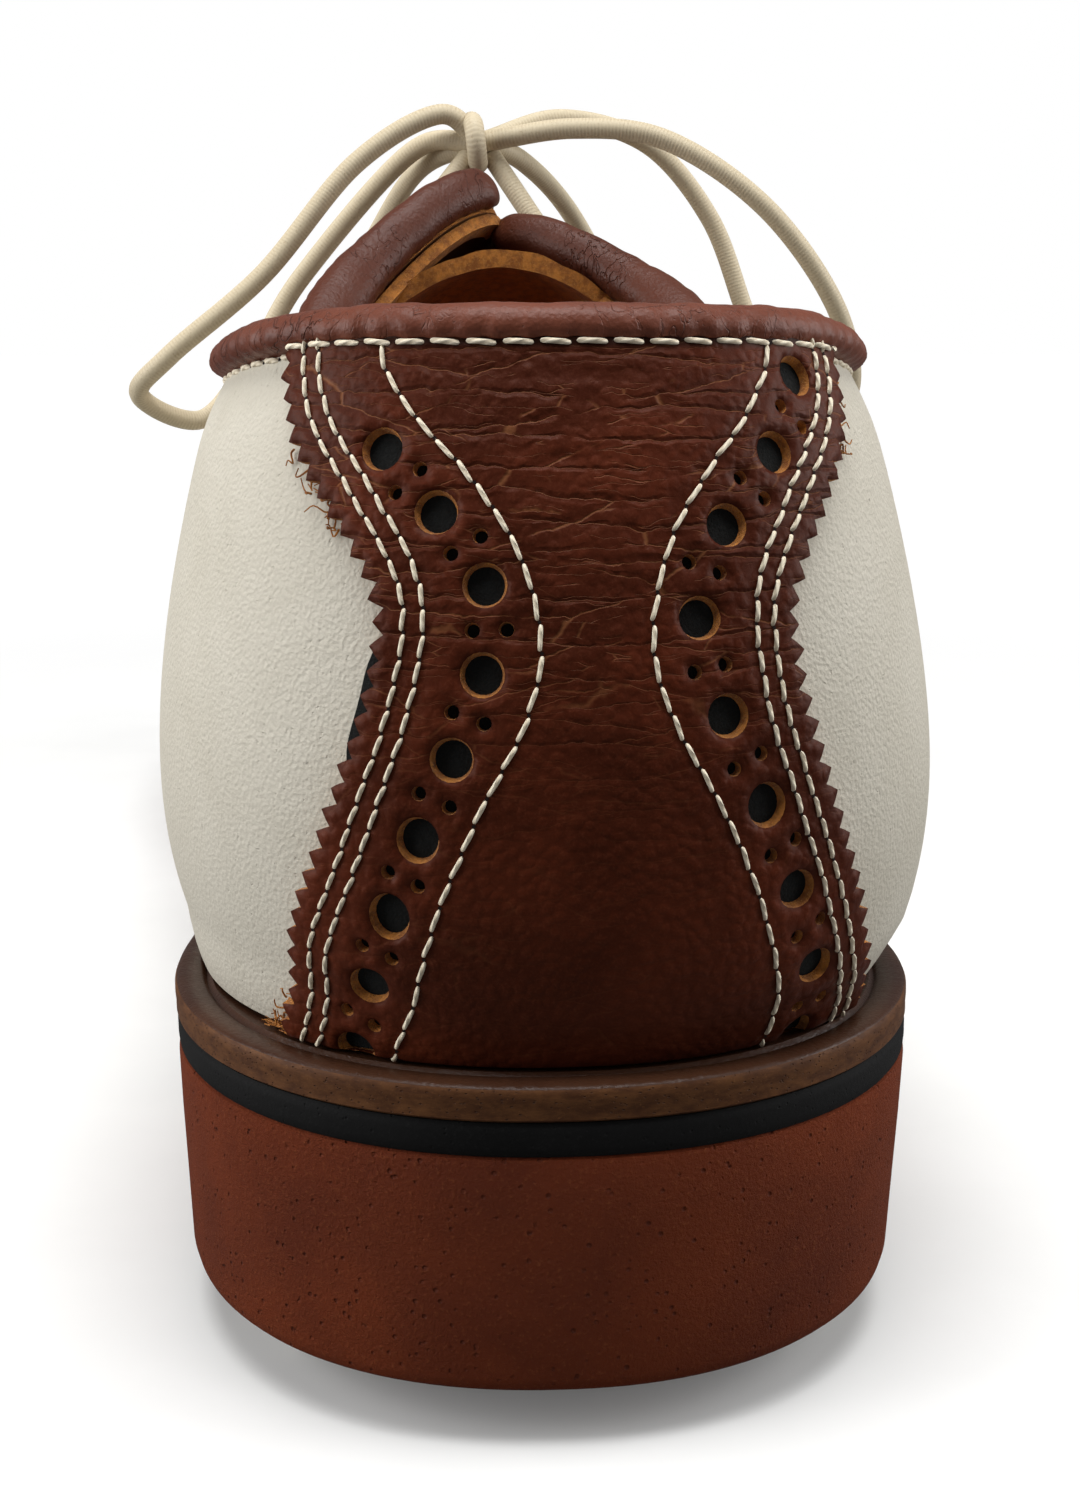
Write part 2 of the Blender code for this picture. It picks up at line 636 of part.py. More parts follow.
def toe_grid(rear_arc, columns):
    """Places from a lateral edge round the toe to the same edge on the medial side, meeting on the ridge."""
    steps = np.linspace(-1, 1, columns)[:, None]
    way = (1 + np.sign(steps) * np.abs(steps) ** 1.2) / 2
    arc = rear_arc[None, :] + way * 2 * (HALF_ARC - rear_arc[None, :])
    return arc, seam_shares()[None, :] * full_girth(arc)


def build_vamp():
    """Vamp and its lining, the toe stiffener between them, and the wing tip over the vamp."""
    seam_arc = np.append(quarter_grid()[0][-1], arc_at(THROAT)) + GAP
    vamp = toe_grid(seam_arc, 37)
    shell("vamp", *vamp, OUTER, "cream_leather", over_ridge=True)
    shell("vamp_lining", *toe_grid(seam_arc, 25), LINING, "tan_leather", over_ridge=True)
    shares = seam_shares()
    wing_arc = arc_at(through(shares, WING_EDGE))
    shell("wing_tip", *toe_grid(wing_arc, 35), WING, "brown_leather", over_ridge=True)
    puff_arc = np.full(len(shares), arc_at(PUFF_START))
    shell("toe_stiffener", *toe_grid(puff_arc, 19), STIFFENER, "stiffener_board", over_ridge=True)


def build_heel_foxing():
    """The brown back piece: an hourglass over the seam of the two quarters."""
    across = np.linspace(-1, 1, 11)[:, None]
    top = float(seat(np.array(HEEL_BACK)))
    rows = np.linspace(0, 1, 9)[None, :] * top
    arc = across * through(rows, FOXING_HALF_WIDTH)
    girth = np.minimum(np.broadcast_to(rows, arc.shape), seat(edge_point(arc)[1]))
    shell("heel_foxing", arc, girth, OVERLAY, "brown_leather")


def build_facings():
    """A brown band along each lacing edge, carried back along the topline."""
    y = [station for station in QUARTER_Y if FACING_REAR <= station < FACING_FRONT]
    y = np.array(y + [FACING_FRONT])[:, None]
    up = np.linspace(0, 1, 6)[None, :]
    girth = seat(y) - (1 - up) * through(y, FACING_WIDTH)
    arc = np.broadcast_to(arc_at(y), girth.shape)
    lateral = shell("facing_lateral", arc, girth, OVERLAY, "brown_leather")
    medial = shell("facing_medial", -arc, girth, OVERLAY, "brown_leather")
    return lateral, medial


def build_collar():
    """A padded binding over quarters and lining round the topline, from facing corner to facing corner."""
    half = np.concatenate([HEEL_ARCS, arc_at(np.array([y for y in QUARTER_Y if y <= FACING_TOP]))])
    arcs = np.concatenate([-half[:0:-1], half])
    girth = seat(edge_point(arcs)[1])
    middle = (LINING[0] + OVERLAY[1]) / 2
    line = offset_points(arcs, girth, np.full(arcs.shape, middle))
    along = np.gradient(line, axis=0)
    outward = normals(arcs, girth)
    up = np.cross(outward, along)
    up = up / np.linalg.norm(up, axis=-1, keepdims=True)
    section = ((-1, 0.0), (-0.8, 0.62), (-0.3, 1.0), (0.35, 1.0), (0.85, 0.62), (1, 0.0))
    rings = [
        line + outward * out * (middle + 0.5) + up * (GAP + rise * BINDING_HEIGHT) for out, rise in section
    ]
    rings = to_world(np.stack(rings, axis=1))
    count, sides = rings.shape[:2]
    faces = [
        (i * sides + k, i * sides + (k + 1) % sides, (i + 1) * sides + (k + 1) % sides, (i + 1) * sides + k)
        for i in range(count - 1)
        for k in range(sides)
    ]
    faces.append(tuple(range(sides - 1, -1, -1)))
    faces.append(tuple((count - 1) * sides + k for k in range(sides)))
    make_object("collar_binding", rings.reshape(-1, 3).tolist(), faces, "brown_leather")


def build_tongue():
    """The tongue: an arched flap under the facings, narrower at its base, rounded at its top."""
    cross = np.linspace(-1, 1, 9)[:, None]
    y = np.array([93, 97, 104, 115, 130, 145, 156, 166.0])[None, :]
    arc = arc_at(y) * np.where(cross < 0, -1, 1)
    points = on_last(arc, full_girth(arc) - np.abs(cross) * through(y, TONGUE_HALF_WIDTH))
    points[..., 2] -= through(y, TONGUE_SINK)
    under = points - np.array([0, 0, TONGUE_THICKNESS])
    vertices, faces = boxed_grid(to_world(under), to_world(points))
    make_object("tongue", vertices, faces, "brown_leather")


# ---------------------------------------------------------------- eyelets and lace


def facing_point(y, side, setback, offset):
    """A world point beside the lacing gap: y on the ridge, setback down from it, offset out from the last."""
    arc = float(arc_at(y))
    return upper_point(arc * side, float(full_girth(arc)) - setback, offset)


def build_eyelets(pierced):
    """Ten clinched eyelets, and the holes for them through facings, quarters and lining."""
    high, low = OVERLAY[1] + 0.5, LINING[0] - 0.4
    profile = [
        (EYELET_INNER, low), (EYELET_OUTER, low), (EYELET_OUTER, high),
        (EYELET_FLANGE, high), (EYELET_FLANGE, high + 0.5), (EYELET_INNER, high + 0.5),
    ]
    vertices, faces = revolved(profile, 9)
    shared = None
    for side, label in ((1, "lateral"), (-1, "medial")):
        for row, y in enumerate(EYELET_ROWS, 1):
            foot = facing_point(y, side, EYELET_SETBACK, 0.0)
            stand = pose_on(facing_point(y, side, EYELET_SETBACK, 5.0) - foot, foot)
            name = f"eyelet_{label}_{row}"
            if shared is None:
                eyelet = make_object(name, vertices, faces, "antique_brass", merge=0.01)
                shared = eyelet.data
            else:
                eyelet = place(name, shared, "antique_brass")
            eyelet.matrix_local = stand
            cutter = cylinder(f"hole_{label}_{row}", EYELET_HOLE, low - 3, high + 3, sides=9)
            cutter.matrix_world = stand
            for leather in pierced[side]:
                combine(leather, [cutter], "DIFFERENCE")


def over_ridge(y, offset):
    """A world point on the ridge at y, offset out from the last."""
    return facing_point(y, 1, 0.0, offset)


def eyelet_pass(y, side, downwards):
    """The lace's way through one eyelet: over its flange, down through it and out underneath."""
    stages = ((-2.6, BAR_LIFT), (0.0, 7.2), (0.0, -0.9), (0.0, UNDER_DEPTH))
    passed = [facing_point(y, side, EYELET_SETBACK + shift, height) for shift, height in stages]
    return passed if downwards else passed[::-1]


def lace_rows():
    """The lace from the knot down the lateral top eyelet, under to the bottom row, and back up in bars."""
    top = EYELET_ROWS[0]
    points = eyelet_pass(top, 1, True)
    for y in (128.0, 142.0, 155.0):
        points.append(facing_point(y, 1, EYELET_SETBACK + 5.5, UNDER_DEPTH))
    upwards = EYELET_ROWS[:0:-1]
    for y, following in zip(upwards, upwards[1:] + (top,)):
        points += eyelet_pass(y, 1, False)
        points.append(over_ridge(y, BAR_LIFT))
        points += eyelet_pass(y, -1, True)
        if following != top:
            points.append(over_ridge((y + following) / 2, UNDER_DEPTH))
    return points + eyelet_pass(top, -1, False)


def bow_paths(knot):
    """Loops and free ends of the bow, as control points relative to the knot."""
    left_loop = [(0, 0, 0), (-5.5, -1, 3.4), (-16.5, -2, -3), (-28.5, -3.5, -16.8), (-41, -4, -27.2),
                 (-45.5, 0, -32.5), (-38, 6, -36), (-31, 8, -28), (-24, 8, -17), (-9, 4, -1), (0, 0, 0)]
    right_loop = [(0, 0, 0), (12, -3, 1.6), (24, -5, 0), (37, -6, -8.5), (47, -4, -21), (50.5, 1, -32),
                  (46, 6, -37), (41, 9, -32), (37, 10, -21), (32, 10, -9), (23, 8, 0.5), (11, 5, 3.4),
                  (0, 0, 0)]
    left_end = [(0, 0, 0), (-8, 8, -3), (-15, 19, -13), (-23, 28, -26), (-31, 35, -38)]
    right_end = [(0, 0, 0), (6, 6, -2), (13, 15, -8), (21, 24, -20), (32, 33, -37)]
    for path in (left_loop, right_loop, left_end, right_end):
        yield [knot + Vector(p) for p in path]


def build_lace():
    """One cord: rows through the eyelets, knot, two loops and two ends, joined into a single solid."""
    rows = lace_rows()
    knot = over_ridge(EYELET_ROWS[0], KNOT_LIFT)
    path = [knot + Vector((1, 0, 0))] + rows + [knot - Vector((1, 0, 0))]
    vertices, faces = tube(path, LACE_RADIUS, 6)
    lace = make_object("lace", vertices, faces, "lace_cotton", merge=0.001)
    left_loop, right_loop, left_end, right_end = bow_paths(knot)
    helpers = []
    for name, control in (("left_loop", left_loop), ("right_loop", right_loop)):
        whole = smooth_path(control, 2)
        middle = len(whole) // 2
        helpers.append(lace_helper(f"{name}_out", whole[: middle + 1]))
        helpers.append(lace_helper(f"{name}_back", whole[middle - 1 :]))
    for name, control in (("left_end", left_end), ("right_end", right_end)):
        helpers.append(lace_helper(name, smooth_path(control, 2)))
    made = bmesh.new()
    bmesh.ops.create_icosphere(made, subdivisions=2, radius=MM)
    bmesh.ops.scale(made, verts=made.verts, vec=(5.2, 4.4, 4.2))
    bmesh.ops.translate(made, verts=made.verts, vec=knot * MM)
    mesh = bpy.data.meshes.new("knot")
    made.to_mesh(mesh)
    made.free()
    knot_ball = hidden(bpy.data.objects.new("knot", mesh))
    combine(lace, [knot_ball] + helpers, "UNION")
    for name, control in (("aglet_medial", left_end), ("aglet_lateral", right_end)):
        build_aglet(name, control)


def lace_helper(name, path):
    vertices, faces = tube(path, LACE_RADIUS, 6)
    helper = make_object(name, vertices, faces, "lace_cotton", merge=0.001)
    helper.parent = None
    helper.hide_render = True
    helper.display_type = "WIRE"
    return helper


def build_aglet(name, control):
    """A plastic tip that carries on from a lace end."""
    run = (control[-1] - control[-2]).normalized()
    start = control[-1] + run * GAP
    vertices, faces = tube([start, start + run * AGLET_LENGTH], LACE_RADIUS, 8)
    make_object(name, vertices, faces, "aglet_plastic", merge=0.001)


# ---------------------------------------------------------------- cleats


def sole_frame(x, y):
    """Point and outward (downward) direction of the outsole's underside at a place before to_world."""

    def under(px, py):
        y_array = np.array([float(py)])
        return to_world(np.array([[px, py, float(outsole_bottom(y_array)[0])]]))[0]

    point = under(x, y)
    along = under(x, y + 1) - under(x, y - 1)
    across = under(x + 1, y) - under(x - 1, y)
    down = np.cross(along, across)
    return Vector(point), Vector(down / np.linalg.norm(down))


def receptacle_mesh():
    """A cup with a keyed lip: the cleat's lugs pass it one way round and lock under it a quarter turn on."""
    cup = cylinder("cup", RECEPTACLE_RADIUS, 0, RECEPTACLE_HEIGHT, sides=14)
    chamber = cylinder("chamber", CHAMBER_RADIUS, LIP_THICKNESS, LIP_THICKNESS + CHAMBER_HEIGHT, sides=14)
    bore = cylinder("bore", STUD_RADIUS + KEY_CLEARANCE, -1, LIP_THICKNESS + 0.5, sides=10)
    slot = box(
        "slot", 2 * (LUG_REACH + KEY_CLEARANCE) - 0.4, LUG_WIDTH + 2 * KEY_CLEARANCE, -1, LIP_THICKNESS + 0.5
    )
    combine(cup, [chamber, bore, slot], "DIFFERENCE")
    return baked_mesh(cup)


def cleat_mesh():
    """Flange with a ring of traction legs below it, and a stud with two locking lugs above."""
    made = bmesh.new()
    sides = 2 * LEG_COUNT
    rings = []
    flange_low = -FLANGE_THICKNESS
    outline = (
        (STUD_RADIUS, 0.0), (FLANGE_RADIUS, 0.0), (FLANGE_RADIUS, flange_low),
        (CROWN_RADIUS, flange_low - 0.3), (CROWN_RADIUS / 2, flange_low - 1.4),
    )
    for radius, height in outline:
        ring = []
        for k in range(sides):
            turn = math.pi * (2 * k + 1) / sides
            corner = Vector((radius * math.cos(turn), radius * math.sin(turn), height))
            ring.append(made.verts.new(corner * MM))
        rings.append(ring)
    leg_faces = []
    for index in range(4):
        inner, outer = rings[index], rings[index + 1]
        for k in range(sides):
            after = (k + 1) % sides
            face = made.faces.new((inner[k], outer[k], outer[after], inner[after]))
            if index == 2 and k % 2 == 0:
                leg_faces.append(face)
    made.faces.new(rings[4])
    made.faces.new(rings[0][::-1])
    bmesh.ops.recalc_face_normals(made, faces=made.faces)
    for face in leg_faces:
        extruded = bmesh.ops.extrude_discrete_faces(made, faces=[face])["faces"][0]
        middle = extruded.calc_center_median()
        for corner in extruded.verts:
            corner.co = middle + (corner.co - middle) * 0.55
            corner.co.z = -(CLEAT_DROP + FLANGE_SEAT) * MM
    mesh = bpy.data.meshes.new("cleat")
    made.to_mesh(mesh)
    made.free()
    body = hidden(bpy.data.objects.new("cleat_body", mesh))
    stud_top = STUD_FOOT + LIP_THICKNESS + 0.35 + LUG_THICKNESS
    stud = cylinder("stud", STUD_RADIUS, -0.5, stud_top, sides=10)
    lugs = box("lugs", LUG_WIDTH, 2 * LUG_REACH, stud_top - LUG_THICKNESS, stud_top - 0.02)
    combine(body, [stud, lugs], "UNION")
    return baked_mesh(body)


def build_cleats(outsole):
    """A receptacle and a cleat at each place, and the pockets for them in the outsole."""
    receptacle, cleat = receptacle_mesh(), cleat_mesh()
    for number, (x, y) in enumerate(CLEAT_PLACES, 1):
        point, down = sole_frame(x, y)
        stand = pose_on(-down, point)
        recess = cylinder(f"recess_{number}", RECESS_RADIUS, -3, RECESS_DEPTH)
        pocket = cylinder(f"pocket_{number}", POCKET_RADIUS, -3, POCKET_DEPTH)
        for cutter in (recess, pocket):
            cutter.matrix_world = stand
        combine(outsole, [recess, pocket], "DIFFERENCE")
        seat = place(f"receptacle_{number}", receptacle, "receptacle_plastic")
        seat.matrix_local = stand @ Matrix.Translation((0, 0, (RECESS_DEPTH + 0.05) * MM))
        spike = place(f"cleat_{number}", cleat, "cleat_plastic")
        spike.matrix_local = stand @ Matrix.Translation((0, 0, FLANGE_SEAT * MM))


# ---------------------------------------------------------------- the shoe

for old in list(bpy.data.objects):
    bpy.data.objects.remove(old)

SHOE = bpy.data.objects.new("golf_shoe", None)
bpy.context.scene.collection.objects.link(SHOE)


def main():
    outsole = build_sole()
    build_cleats(outsole)
    build_quarters()
    build_vamp()
    build_heel_foxing()
    lateral, medial = build_facings()
    build_collar()
    build_tongue()
    lining = bpy.data.objects["quarter_lining"]
    pierced = {
        1: [lateral, bpy.data.objects["quarter_lateral"], lining],
        -1: [medial, bpy.data.objects["quarter_medial"], lining],
    }
    build_eyelets(pierced)
    build_lace()


main()
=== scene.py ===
"""The looks of the brogued golf shoe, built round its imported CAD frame.

Frame: +Y runs from the heel to the toe, +X is the outer (lateral) side, +Z is up, and z = 0 is the ground
under the cleats. Lengths in this file are millimetres, and link scales them to metres.

The upper is drawn on the surface of the same shoe last as the CAD. A place on it is an arc length along the
last's bottom edge (0 at the back of the heel, positive on the lateral side) and a girth up from that edge.
Each leather piece is cut out of a chart of that surface with its gimped edge and its punched holes, laid on
the last in its own layer, then stitched.
"""

import json
import math

import bmesh
import bpy
import numpy as np
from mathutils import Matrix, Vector, geometry, kdtree, noise


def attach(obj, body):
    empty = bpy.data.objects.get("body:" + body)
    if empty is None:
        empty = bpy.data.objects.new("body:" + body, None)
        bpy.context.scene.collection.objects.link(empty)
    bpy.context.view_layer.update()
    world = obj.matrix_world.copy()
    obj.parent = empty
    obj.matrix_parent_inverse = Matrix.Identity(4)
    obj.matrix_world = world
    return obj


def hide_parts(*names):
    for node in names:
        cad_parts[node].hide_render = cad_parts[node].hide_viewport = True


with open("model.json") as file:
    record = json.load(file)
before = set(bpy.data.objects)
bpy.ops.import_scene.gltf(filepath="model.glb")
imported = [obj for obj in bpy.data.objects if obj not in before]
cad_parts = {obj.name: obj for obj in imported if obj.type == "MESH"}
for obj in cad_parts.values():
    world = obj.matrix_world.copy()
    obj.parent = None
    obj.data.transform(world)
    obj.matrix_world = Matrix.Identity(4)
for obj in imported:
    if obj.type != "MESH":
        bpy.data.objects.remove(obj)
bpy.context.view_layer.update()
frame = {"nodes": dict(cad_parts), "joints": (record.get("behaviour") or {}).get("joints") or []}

MM = 0.001

# ---------------------------------------------------------------- the shoe last

ORIGIN_X, ORIGIN_Y = 1.45, 148.4
CLEAT_DROP = 5.0  # how far the cleats stand below the sole
GAP = 0.35
HEEL_BACK, HEEL_CENTRE, TOE_CENTRE, TOE_TIP = 10.0, 45.0, 240.0, 287.0
HEEL_ROUNDNESS, TOE_ROUNDNESS = 2.2, 2.0
LAST_HALF_WIDTH = (
    (10, 29.2), (45, 29.2), (80, 29.8), (112, 31), (150, 35), (200, 43.5), (240, 41), (287, 39),
)
RIDGE_HEIGHT = (
    (10, 81), (60, 82), (90, 84), (105, 81.5), (130, 68.5), (160, 54), (200, 42.5), (240, 33), (287, 22),
)
SECTION_POWER = ((10, 2.45), (55, 2.4), (85, 1.85), (110, 1.75), (150, 1.95), (200, 2.15), (287, 2.4))
BULGE = ((10, 5.0), (60, 5.0), (100, 4.4), (160, 3.4), (287, 2.5))
BULGE_HEIGHT = ((10, 23), (70, 23), (110, 18), (170, 11), (287, 9))
TUCK, TUCK_START, TUCK_END = ((10, 0.0), (22, 0.6), (45, 2.6), (75, 2.4), (98, 0.0)), 49.0, 62.0
BASE_HEIGHT = (
    (0, 28.2), (45, 26.9), (80, 23.4), (120, 18.4), (160, 14.6), (200, 12.85), (240, 14.5), (270, 17.8),
    (300, 22.4),
)
CENTRE_LINE = ((0, 0), (60, 0), (120, 1.4), (190, 1.8), (250, -2.5), (300, -7.5))
RIDGE_LEAN = ((0, -0.018), (60, -0.015), (110, -0.03), (200, -0.12), (300, -0.08))
HEEL_SET_OUT, HEEL_SET_OUT_REACH = 1.4, 90.0
BALL, BALL_SKEW, BALL_REACH = 200.0, 0.24, 45.0
CORNER, CORNER_REAR, CORNER_FRONT, CORNER_DROP = 106.0, 17.0, 30.0, 5.4
CORNER_CLOSE = (3.4, 2.6)  # medial and lateral
ARC_STEPS, SHARE_STEPS = 900, 150  # the table of the last's surface


def points_from(*parts):
    """Points from an array, or a number that they all share, for each coordinate."""
    return np.stack(np.broadcast_arrays(*parts), axis=-1)


def path_length(path):
    """The length along a path up to each of its points."""
    return np.concatenate([[0], np.cumsum(np.linalg.norm(np.diff(path, axis=0), axis=1))])


def sample(path, run, at):
    """The path's points where run, which rises along it, reaches each value of at."""
    return np.stack([np.interp(at, run, column) for column in path.T], axis=-1)


def smooth_step(t):
    t = np.clip(t, 0, 1)
    return t * t * (3 - 2 * t)


def through(x, stations):
    """A smooth curve through (x, value) stations: cubic Hermite pieces, level past both ends."""
    at = np.array([station[0] for station in stations], float)
    value = np.array([station[1] for station in stations], float)
    slope = np.gradient(value, at)
    slope[0] = slope[-1] = 0.0
    x = np.clip(np.asarray(x, float), at[0], at[-1])
    i = np.clip(np.searchsorted(at, x, side="right") - 1, 0, len(at) - 2)
    step = at[i + 1] - at[i]
    t = (x - at[i]) / step
    left = (1 + 2 * t) * (1 - t) ** 2 * value[i] + t * (1 - t) ** 2 * step * slope[i]
    right = t * t * (3 - 2 * t) * value[i + 1] + t * t * (t - 1) * step * slope[i + 1]
    return left + right


def half_width(y):
    """Half the last's width at y, rounded off at the heel and the toe."""
    heel = np.clip((HEEL_CENTRE - y) / (HEEL_CENTRE - HEEL_BACK), 0, 1)
    toe = np.clip((y - TOE_CENTRE) / (TOE_TIP - TOE_CENTRE), 0, 1)
    heel_cap = (1 - heel**HEEL_ROUNDNESS) ** (1 / HEEL_ROUNDNESS)
    toe_cap = (1 - toe**TOE_ROUNDNESS) ** (1 / TOE_ROUNDNESS)
    return through(y, LAST_HALF_WIDTH) * heel_cap * toe_cap


TURN = np.linspace(0, math.pi, 4001)
EDGE_Y = HEEL_BACK + (TOE_TIP - HEEL_BACK) * (1 - np.cos(TURN)) / 2
EDGE_X = half_width(EDGE_Y)
EDGE_ARC = np.concatenate([[0], np.cumsum(np.hypot(np.diff(EDGE_X), np.diff(EDGE_Y)))])
HALF_ARC = float(EDGE_ARC[-1])
TOE_PART = EDGE_Y >= TOE_CENTRE
TOE_ANGLE = np.arctan2(EDGE_X[TOE_PART], EDGE_Y[TOE_PART] - TOE_CENTRE)


def arc_at(y):
    """Arc length from the back of the heel to the edge point at y."""
    return np.interp(y, EDGE_Y, EDGE_ARC)


def edge_point(arc):
    """(x, y) of the last's bottom edge. An arc past the toe comes back along the medial side."""
    arc = np.asarray(arc, float)
    folded = np.where(arc > HALF_ARC, arc - 2 * HALF_ARC, arc)
    x = np.interp(np.abs(folded), EDGE_ARC, EDGE_X) * np.sign(folded)
    return x, np.interp(np.abs(folded), EDGE_ARC, EDGE_Y)


def surface_table():
    """The last's points and unit normals on a grid of arcs by shares of the girth, and each arc's girth."""
    arc = np.linspace(0, HALF_ARC, ARC_STEPS + 1)
    x, y = edge_point(arc)
    centre_y = np.clip(y, HEEL_CENTRE, TOE_CENTRE)
    reach = np.hypot(x, y - centre_y)
    ray_x, ray_y = x / np.maximum(reach, 1e-6), (y - centre_y) / np.maximum(reach, 1e-6)
    turn = np.linspace(0, math.pi / 2, 73)
    power = 2 / through(y, SECTION_POWER)[:, None]
    inward, upward = np.cos(turn) ** power, np.sin(turn) ** power
    radius = reach[:, None] * inward
    height = through(centre_y[:, None] + ray_y[:, None] * radius, RIDGE_HEIGHT) * upward
    rise = height / through(y, BULGE_HEIGHT)[:, None]
    radius = radius + through(y, BULGE)[:, None] * rise * np.exp(1 - rise) * (1 - upward**4)
    drawn = smooth_step((height - TUCK_START) / (TUCK_END - TUCK_START)) * np.minimum(1.5 * inward, 1)
    radius = radius - through(y, TUCK)[:, None] * drawn
    girth = np.cumsum(np.hypot(np.diff(radius, axis=1), np.diff(height, axis=1)), axis=1)
    girth = np.concatenate([np.zeros((len(arc), 1)), girth], axis=1)
    share = np.linspace(0, 1, SHARE_STEPS + 1)
    r = np.array([np.interp(share * row[-1], row, value) for row, value in zip(girth, radius)])
    z = np.array([np.interp(share * row[-1], row, value) for row, value in zip(girth, height)])
    points = points_from(ray_x[:, None] * r, centre_y[:, None] + ray_y[:, None] * r, z)
    normal = np.cross(np.gradient(points, axis=0), np.gradient(points, axis=1))
    slope = (through(centre_y + 1, RIDGE_HEIGHT) - through(centre_y - 1, RIDGE_HEIGHT)) / 2
    normal[:, -1] = points_from(0, -slope, 1)
    normal[0, :, 0] = normal[-1, :, 0] = 0
    return points, normal / np.linalg.norm(normal, axis=-1, keepdims=True), girth[:, -1]


LAST_POINTS, LAST_NORMALS, LAST_GIRTH = surface_table()


def full_girth(arc):
    """Girth from the bottom edge up to the ridge."""
    folded = np.abs(np.where(np.asarray(arc) > HALF_ARC, arc - 2 * HALF_ARC, arc))
    return np.interp(folded, np.linspace(0, HALF_ARC, ARC_STEPS + 1), LAST_GIRTH)


def on_last(arc, girth, offset=0.0):
    """Points at an offset out from the last, before to_world, with a last axis of 3."""
    arc, girth, offset = np.broadcast_arrays(*(np.asarray(v, float) for v in (arc, girth, offset)))
    folded = np.where(arc > HALF_ARC, arc - 2 * HALF_ARC, arc)
    side = np.where(folded < 0, -1.0, 1.0)
    a = np.clip(np.abs(folded) / HALF_ARC, 0, 1) * ARC_STEPS
    s = np.clip(girth / full_girth(arc), 0, 1) * SHARE_STEPS
    i = np.minimum(a.astype(int), ARC_STEPS - 1)
    j = np.minimum(s.astype(int), SHARE_STEPS - 1)
    a, s = (a - i)[..., None], (s - j)[..., None]
    mixed = []
    for table in (LAST_POINTS, LAST_NORMALS):
        low = table[i, j] * (1 - s) + table[i, j + 1] * s
        high = table[i + 1, j] * (1 - s) + table[i + 1, j + 1] * s
        mixed.append(low * (1 - a) + high * a)
    normal = mixed[1] / np.linalg.norm(mixed[1], axis=-1, keepdims=True)
    points = mixed[0] + normal * offset[..., None]
    points[..., 0] *= side
    points[..., 2] = np.maximum(points[..., 2], GAP)
    return points


def to_world(points, sagging=True):
    """Bends the symmetric last into a right foot and stands it on its cleats.

    Round the facing corners it also pulls the medial one in to the lace and lets the lateral one sag.
    """
    x, y, z = points[..., 0], points[..., 1], points[..., 2]
    skew = BALL_SKEW * np.exp(-(((y - BALL) / BALL_REACH) ** 2))
    set_out = HEEL_SET_OUT * np.exp(-((y / HEEL_SET_OUT_REACH) ** 2)) * np.clip(z / 6, 0, 1)
    high = smooth_step((z - 50) / 30)
    near = np.exp(-(((y - CORNER) / np.where(y < CORNER, CORNER_REAR, CORNER_FRONT)) ** 2)) * high * sagging
    lateral = smooth_step((x + 1.6) / 3.2)
    closed = near * (CORNER_CLOSE[0] * (1 - lateral) - CORNER_CLOSE[1] * lateral)
    dropped = CORNER_DROP * near * smooth_step((x + 0.5) / 4)
    world_x = x + through(y, CENTRE_LINE) + through(y, RIDGE_LEAN) * z + set_out + closed
    world_y = y - skew * x
    world_z = z + through(y, BASE_HEIGHT) + CLEAT_DROP - dropped
    return points_from(world_x - ORIGIN_X, world_y - ORIGIN_Y, world_z)


# ---------------------------------------------------------------- charts of the last

COVER = 5.0  # the offset at which distances along a piece are measured


def side_chart(places):
    """Arc and girth themselves."""
    return places[:, 0], places[:, 1]


def plan_chart(places):
    """The last spread flat from above: x and y on the ground, with the girth shrunk to the plan's reach."""
    x, y = places[:, 0], places[:, 1]
    angle = np.arctan2(np.abs(x), y - TOE_CENTRE)
    round_toe = np.interp(angle, TOE_ANGLE[::-1], EDGE_ARC[TOE_PART][::-1])
    arc = np.where(y > TOE_CENTRE, round_toe, arc_at(y))
    edge_x, edge_y = edge_point(arc)
    centre = np.clip(y, HEEL_CENTRE, TOE_CENTRE)
    share = 1 - np.hypot(x, y - centre) / np.hypot(edge_x, edge_y - centre)
    return arc * np.where(x < 0, -1, 1), share * full_girth(arc)


def plan_place(arc, share):
    """The plan chart's place for an arc and a share of the girth."""
    x, y = edge_point(arc)
    centre = np.clip(y, HEEL_CENTRE, TOE_CENTRE)
    return points_from(x * (1 - share), centre + (y - centre) * (1 - share))


def lay(chart, places, offset):
    """World points of places in a chart."""
    return to_world(on_last(*chart(places), offset))


def stretch(chart, places):
    """How the chart's two directions run in space at each place, as (n, 3, 2)."""
    step = 0.05
    runs = []
    for shift in ((step, 0), (0, step)):
        ahead, back = lay(chart, places + shift, COVER), lay(chart, places - shift, COVER)
        runs.append((ahead - back) / (2 * step))
    return np.stack(runs, axis=-1)


def unit(vectors):
    return vectors / np.maximum(np.linalg.norm(vectors, axis=-1, keepdims=True), 1e-9)


def shifted(chart, places, sideways):
    """Places moved in the surface, to the right of the path they make, by a distance in space each."""
    run = np.gradient(places, axis=0)
    frames = stretch(chart, places)
    along = unit(np.einsum("nij,nj->ni", frames, run))
    out = unit(np.cross(frames[..., 0], frames[..., 1]))
    right = np.cross(along, out) * np.reshape(sideways, (-1, 1))
    return places + np.einsum("nij,nj->ni", np.linalg.pinv(frames), right)


